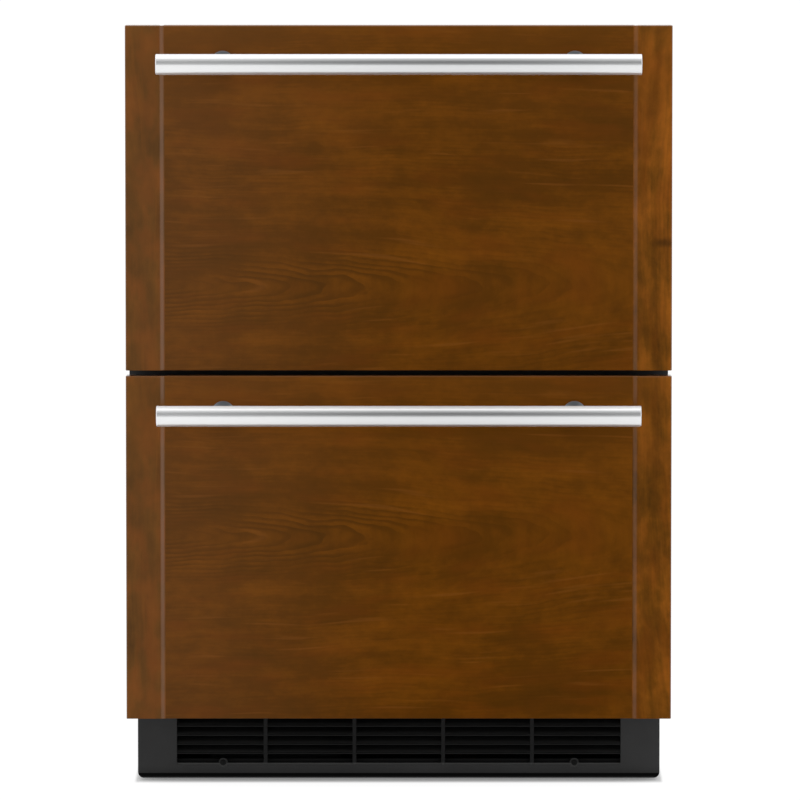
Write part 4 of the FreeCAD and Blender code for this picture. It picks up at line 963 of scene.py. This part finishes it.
def cross_screw(name, centre, radius):
    """A pan head that faces -Y, with a cross recess cut into its dome."""
    x, y, z = centre
    front = y - HEAD_T
    piece = round_bar(name, (x, y - HEAD_T / 2, z), "Y", radius, HEAD_T, 40)
    pick("EDGE", lambda c, d: near(c.y, front))
    round_edges(HEAD_T * DOME, 4)
    close_piece(piece)
    reach, width = radius * ARM_REACH, radius * ARM_W
    for wide, tall in ((reach, width), (width, reach)):
        low = (x - wide, front - MM, z - tall)
        high = (x + wide, front + HEAD_T * RECESS, z + tall)
        arm = close_piece(block("arm", low, high))
        fresh()
        bpy.context.view_layer.objects.active = piece
        piece.select_set(True)
        cut = piece.modifiers.new("recess", "BOOLEAN")
        cut.operation = "DIFFERENCE"
        cut.object = arm
        cut.solver = "EXACT"
        bpy.ops.object.modifier_apply(modifier="recess")
        bpy.data.objects.remove(arm)
    bpy.ops.object.shade_smooth_by_angle(angle=math.radians(30))
    return piece


screws = []
for side in (-1, 1):
    x = side * SCREW_X
    screws.append(cross_screw("grille_screw", (x, SEAT_Y, SCREW_Z), SCREW_R))
    middle = (x, SEAT_Y + SHANK_L / 2, SCREW_Z)
    shank = round_bar("shank", middle, "Y", SHANK_R, SHANK_L, 24)
    pick("EDGE", lambda c, d: c.y > SEAT_Y + SHANK_L - MM and abs(d.y) < 0.5)
    round_edges(TIP, 2)
    screws.append(close_piece(shank))
screw_black = coated("screw_phosphate", (0.005, 0.005, 0.005, 1), 0.5, 1500, 0.08, 0.3, 0.15)
seat(joined("grille_screws", screws), "cabinet", "black_steel", screw_black, "kick_screws")


# %% [markdown]
# ## Drawer bins
# Behind each front hangs a moulded bin, seen when the drawer is out. A moulding has no sharp
# corner, so the cube's upright edges are rounded first and its lower edges after them. The inset of
# the top face gives the wall's thickness, and pushing that face down hollows the tub in one go.
# Rims along both sides rest over the slides.


# %% Moulded bins
BIN_WALL = 2.5 * MM
BIN_RIM = 7.0 * MM
BIN_RIM_T = 3.0 * MM
# Roundings of the upright edges, the foot, the inside of the floor and the rims.
BIN_CORNER, BIN_FOOT, BIN_INSIDE, BIN_EDGE = 18.0 * MM, 8.0 * MM, 5.0 * MM, 0.9 * MM


def tub(drawer):
    low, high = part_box(f"{drawer}_bin")
    half, rim_z = high.x - BIN_RIM, high.z - BIN_RIM_T
    inside_z = low.z + BIN_WALL
    piece = block(f"{drawer}_tub", (-half, low.y, low.z), (half, high.y, high.z))
    pick("EDGE", lambda c, d: abs(d.z) > 0.9)
    round_edges(BIN_CORNER, 6)
    pick("EDGE", lambda c, d: near(c.z, low.z))
    round_edges(BIN_FOOT, 4)
    pick("FACE", lambda c, d: d.z > 0.9 and near(c.z, high.z))
    bpy.ops.mesh.inset(thickness=BIN_WALL)
    extrude_by(z=inside_z - high.z)
    pick("EDGE", lambda c, d: near(c.z, inside_z) and abs(c.x) < half - MM)
    round_edges(BIN_INSIDE, 4)
    bpy.ops.mesh.select_all(action="SELECT")
    bpy.ops.mesh.bisect(plane_co=(0, 0, rim_z), plane_no=(0, 0, 1))
    for side in (-1, 1):
        pick("FACE", lambda c, d: near(c.x, side * half) and c.z > rim_z)
        extrude_by(x=side * BIN_RIM)
        pick("EDGE", lambda c, d: near(c.x, side * high.x))
        round_edges(BIN_EDGE, 2)
    return close_piece(piece)


bin_plastic = coated("bin_plastic", (0.66, 0.69, 0.72, 1), 0.24, 600, 0.03, 0.04)
for drawer in BOTH:
    seat(tub(drawer), f"{drawer}_drawer", "bin_clear_grey", bin_plastic, f"{drawer}_bin")

# %% [markdown]
# ## Everything else keeps its solid
# The sheet metal, the liners, the slides and the machine are already the right shape, so they keep
# their meshes and only get better surfaces. Each finish is built from what that material shows in
# the hand: spangle on galvanised sheet, drawing lines on zinc, cells in foam, a stain on copper.


# %% Metals and foam
def galvanised():
    zinc = Finish("galvanised_sheet", Metallic=0.85)
    wobble = zinc.noise(zinc.spot, (60, 60, 60))
    scaled = zinc.stretched(zinc.spot, (95, 95, 95))
    spot = zinc.node("VectorMath", {"operation": "ADD"}, {0: scaled, 1: wobble})
    flake = zinc.node("SeparateColor", {}, {"Color": zinc.cells(spot, "Color")}, "Red")
    zinc.set("Base Color", zinc.blend(flake, (0.44, 0.455, 0.465, 1), (0.55, 0.56, 0.57, 1)))
    zinc.set("Roughness", 0.34 + flake * 0.16)
    zinc.bump(wobble, 0.06, 0.0003)
    return zinc


def zinc_plate():
    plate = Finish("bright_zinc", Metallic=1.0)
    drawn = plate.noise(plate.spot, (700, 8, 700), 3.0)
    stain = plate.between(plate.noise(plate.spot, (25, 12, 25)), 0.3, 0.7)
    plate.set("Base Color", plate.blend(stain, (0.60, 0.62, 0.66, 1), (0.74, 0.74, 0.73, 1)))
    plate.set("Roughness", 0.22 + (drawn - 0.5) * 0.16)
    plate.bump(drawn, 0.05, 0.0001)
    return plate


def foam_skin():
    foam = Finish("rigid_foam", Roughness=0.85, Specular_IOR_Level=0.25)
    cell = foam.cells(foam.stretched(foam.spot, (520, 520, 520)), "Distance")
    tan = foam.between(foam.noise(foam.spot, (14, 14, 14), 3.0), 0.3, 0.7)
    foam.set("Base Color", foam.blend(tan, (0.66, 0.52, 0.26, 1), (0.83, 0.72, 0.43, 1)))
    foam.bump(cell, 0.35, 0.0005)
    return foam


def drawn_copper():
    copper = Finish("drawn_copper", Metallic=1.0)
    age = copper.between(copper.noise(copper.spot, (45, 45, 45), 4.0, 0.6), 0.35, 0.70)
    copper.set("Base Color", copper.blend(age, (0.80, 0.42, 0.25, 1), (0.42, 0.20, 0.12, 1)))
    copper.set("Roughness", 0.24 + age * 0.22)
    return copper


def mill_aluminium():
    sheet = Finish("mill_aluminium", Metallic=1.0)
    rolled = sheet.noise(sheet.spot, (12, 500, 240), 3.0)
    shade = sheet.between(rolled, 0.3, 0.7)
    sheet.set("Base Color", sheet.blend(shade, (0.62, 0.63, 0.64, 1), (0.78, 0.78, 0.79, 1)))
    sheet.set("Roughness", 0.30 + (rolled - 0.5) * 0.2)
    return sheet


# %% Legs and touch strip
THREAD_PITCH = 1.5 * MM
STEM_LOW, STEM_HIGH = 7.0 * MM, 9.0 * MM  # where the thread begins
POINT_STEP = 15 * MM
POINT_ROW = 0.28  # the row's place in the strip's depth
POINT_R, POINT_GLOW_R = 1.6 * MM, 2.2 * MM


def threaded():
    """Black leg plastic with a thread on the stem, above the pad."""
    leg = coated("leg_plastic", (0.020, 0.020, 0.021, 1), 0.5, 1300, 0.1)
    height = leg.parts(leg.spot)[2]
    turns = leg.node("Math", {"operation": "SINE"}, {0: height * (2 * math.pi / THREAD_PITCH)})
    leg.bump(turns * leg.between(height, STEM_LOW, STEM_HIGH), 0.6, 0.0006)
    return leg


def touch_strip():
    """A glossy black strip with a row of small lit touch points."""
    strip = coated("touch_strip", (0.008, 0.008, 0.009, 1), 0.12, 300, 0.01)
    x, y, _ = strip.parts(strip.spot)
    low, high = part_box("control_panel")
    step = strip.node("Math", {"operation": "PINGPONG"}, {0: x, 1: POINT_STEP})
    across = y - (low.y * (1 - POINT_ROW) + high.y * POINT_ROW)
    reach = (step * step + across * across) ** 0.5
    lit = strip.between(reach, POINT_R, POINT_GLOW_R, 1.0, 0.0)
    strip.set("Emission Color", strip.blend(lit, BLACK, (0.55, 0.80, 1.0, 1)))
    strip.set("Emission Strength", 1.0)
    return strip


# %% Paint the solids
def dress(finish, *names):
    """Paints solids that keep their mesh."""
    for name in names:
        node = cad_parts[name]
        node.data.materials.clear()
        node.data.materials.append(finish.material)
    print(f"{finish.material.name}: {len(names)} solids")


def pair(part):
    """A part's names on both drawers."""
    return [f"{drawer}_{part}" for drawer in BOTH]


# Colour, roughness, lumps to the metre, bump, unevenness and specular level, as coated takes them.
cabinet_paint = coated("cabinet_paint", (0.018, 0.018, 0.019, 1), 0.38, 900, 0.10, 0.2, 0.35)
steel_black = coated("satin_black_steel", (0.017, 0.017, 0.0175, 1), 0.40, 1200, 0.10)
tray_black = coated("tray_primer", (0.006, 0.006, 0.006, 1), 0.6, 900, 0.10, 0.3, 0.1)
liner_white = coated("liner_plastic", (0.78, 0.79, 0.80, 1), 0.26, 220, 0.03, 0.03)
rubber = coated("gasket_rubber", (0.028, 0.028, 0.029, 1), 0.62, 900, 0.08)
enamel = coated("compressor_enamel", (0.010, 0.010, 0.011, 1), 0.22, 260, 0.08)
fan_black = coated("fan_plastic", (0.016, 0.016, 0.018, 1), 0.45, 1500, 0.08)
lens = coated("lamp_lens", (0.84, 0.85, 0.86, 1), 0.35, 1200, 0.10, 0.03)
bright_zinc = zinc_plate()
slides = [*pair("slide_inner"), *pair("slide_middle")]
cages = [*pair("outer_ball_cages"), *pair("inner_ball_cages")]
fans = [f"{fan}_fan{part}" for fan in ("condenser", "evaporator") for part in ("", "_frame")]
legs = [f"{end}_{hand}_leg" for end in ("front", "rear") for hand in ("left", "right")]

dress(cabinet_paint, "outer_wrapper")
dress(steel_black, "front_frame", *pair("front_pan"))
dress(tray_black, "base_tray")
dress(kick_coat(), "kick_plate")
dress(galvanised(), "rear_panel", "bay_liner", "compressor_cover", "counter_brackets")
dress(bright_zinc, "slide_outer_rails", *slides, *cages, *pair("handle_screws"))
dress(foam_skin(), "cabinet_foam", *pair("front_foam"))
dress(liner_white, "evaporator_cover", *pair("liner"), *pair("front_liner"))
dress(rubber, *pair("gasket"))
dress(enamel, "compressor")
dress(drawn_copper(), "condenser_coil", "refrigerant_lines")
dress(mill_aluminium(), "evaporator_coil")
dress(fan_black, *fans)
dress(grille_black, "drain_pan", "cord_gland", "control_box")
dress(lens, "compartment_lamps")
dress(touch_strip(), "control_panel")
dress(threaded(), *legs)

# %% [markdown]
# ## Rear cover screws
# The vented cover behind the machine comes off with eight screws. It is the same pan head as on the
# grille, so one is modelled, turned to face the rear and copied along the cover's edges.

# %% Screws along the cover's edges
COVER_SCREW_R = 4.0 * MM
COVER_INSET = 9.0 * MM
TOP_SHARES = (-1, -0.36, 0.36, 1)  # places along the upper edge
SIDE_Z, FOOT_X = 100 * MM, 150 * MM  # places on the side edges and the lower one
cover_low, cover_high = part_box("compressor_cover")
reach = cover_high.x - COVER_INSET
spots = [(share * reach, cover_high.z - COVER_INSET) for share in TOP_SHARES]
spots += [(side * reach, SIDE_Z) for side in (-1, 1)]
spots += [(side * FOOT_X, cover_low.z + COVER_INSET) for side in (-1, 1)]
head = cross_screw("cover_screw", (0, 0, 0), COVER_SCREW_R)
head.data.transform(Matrix.Rotation(math.pi, 4, "Z"))
heads = []
for k, (x, z) in enumerate(spots):
    heads.append(copy_of(head, f"cover_screw_{k}", (x, cover_high.y, z)))
bpy.data.objects.remove(head)
seat(joined("cover_screws", heads), "cabinet", "slide_steel", bright_zinc)
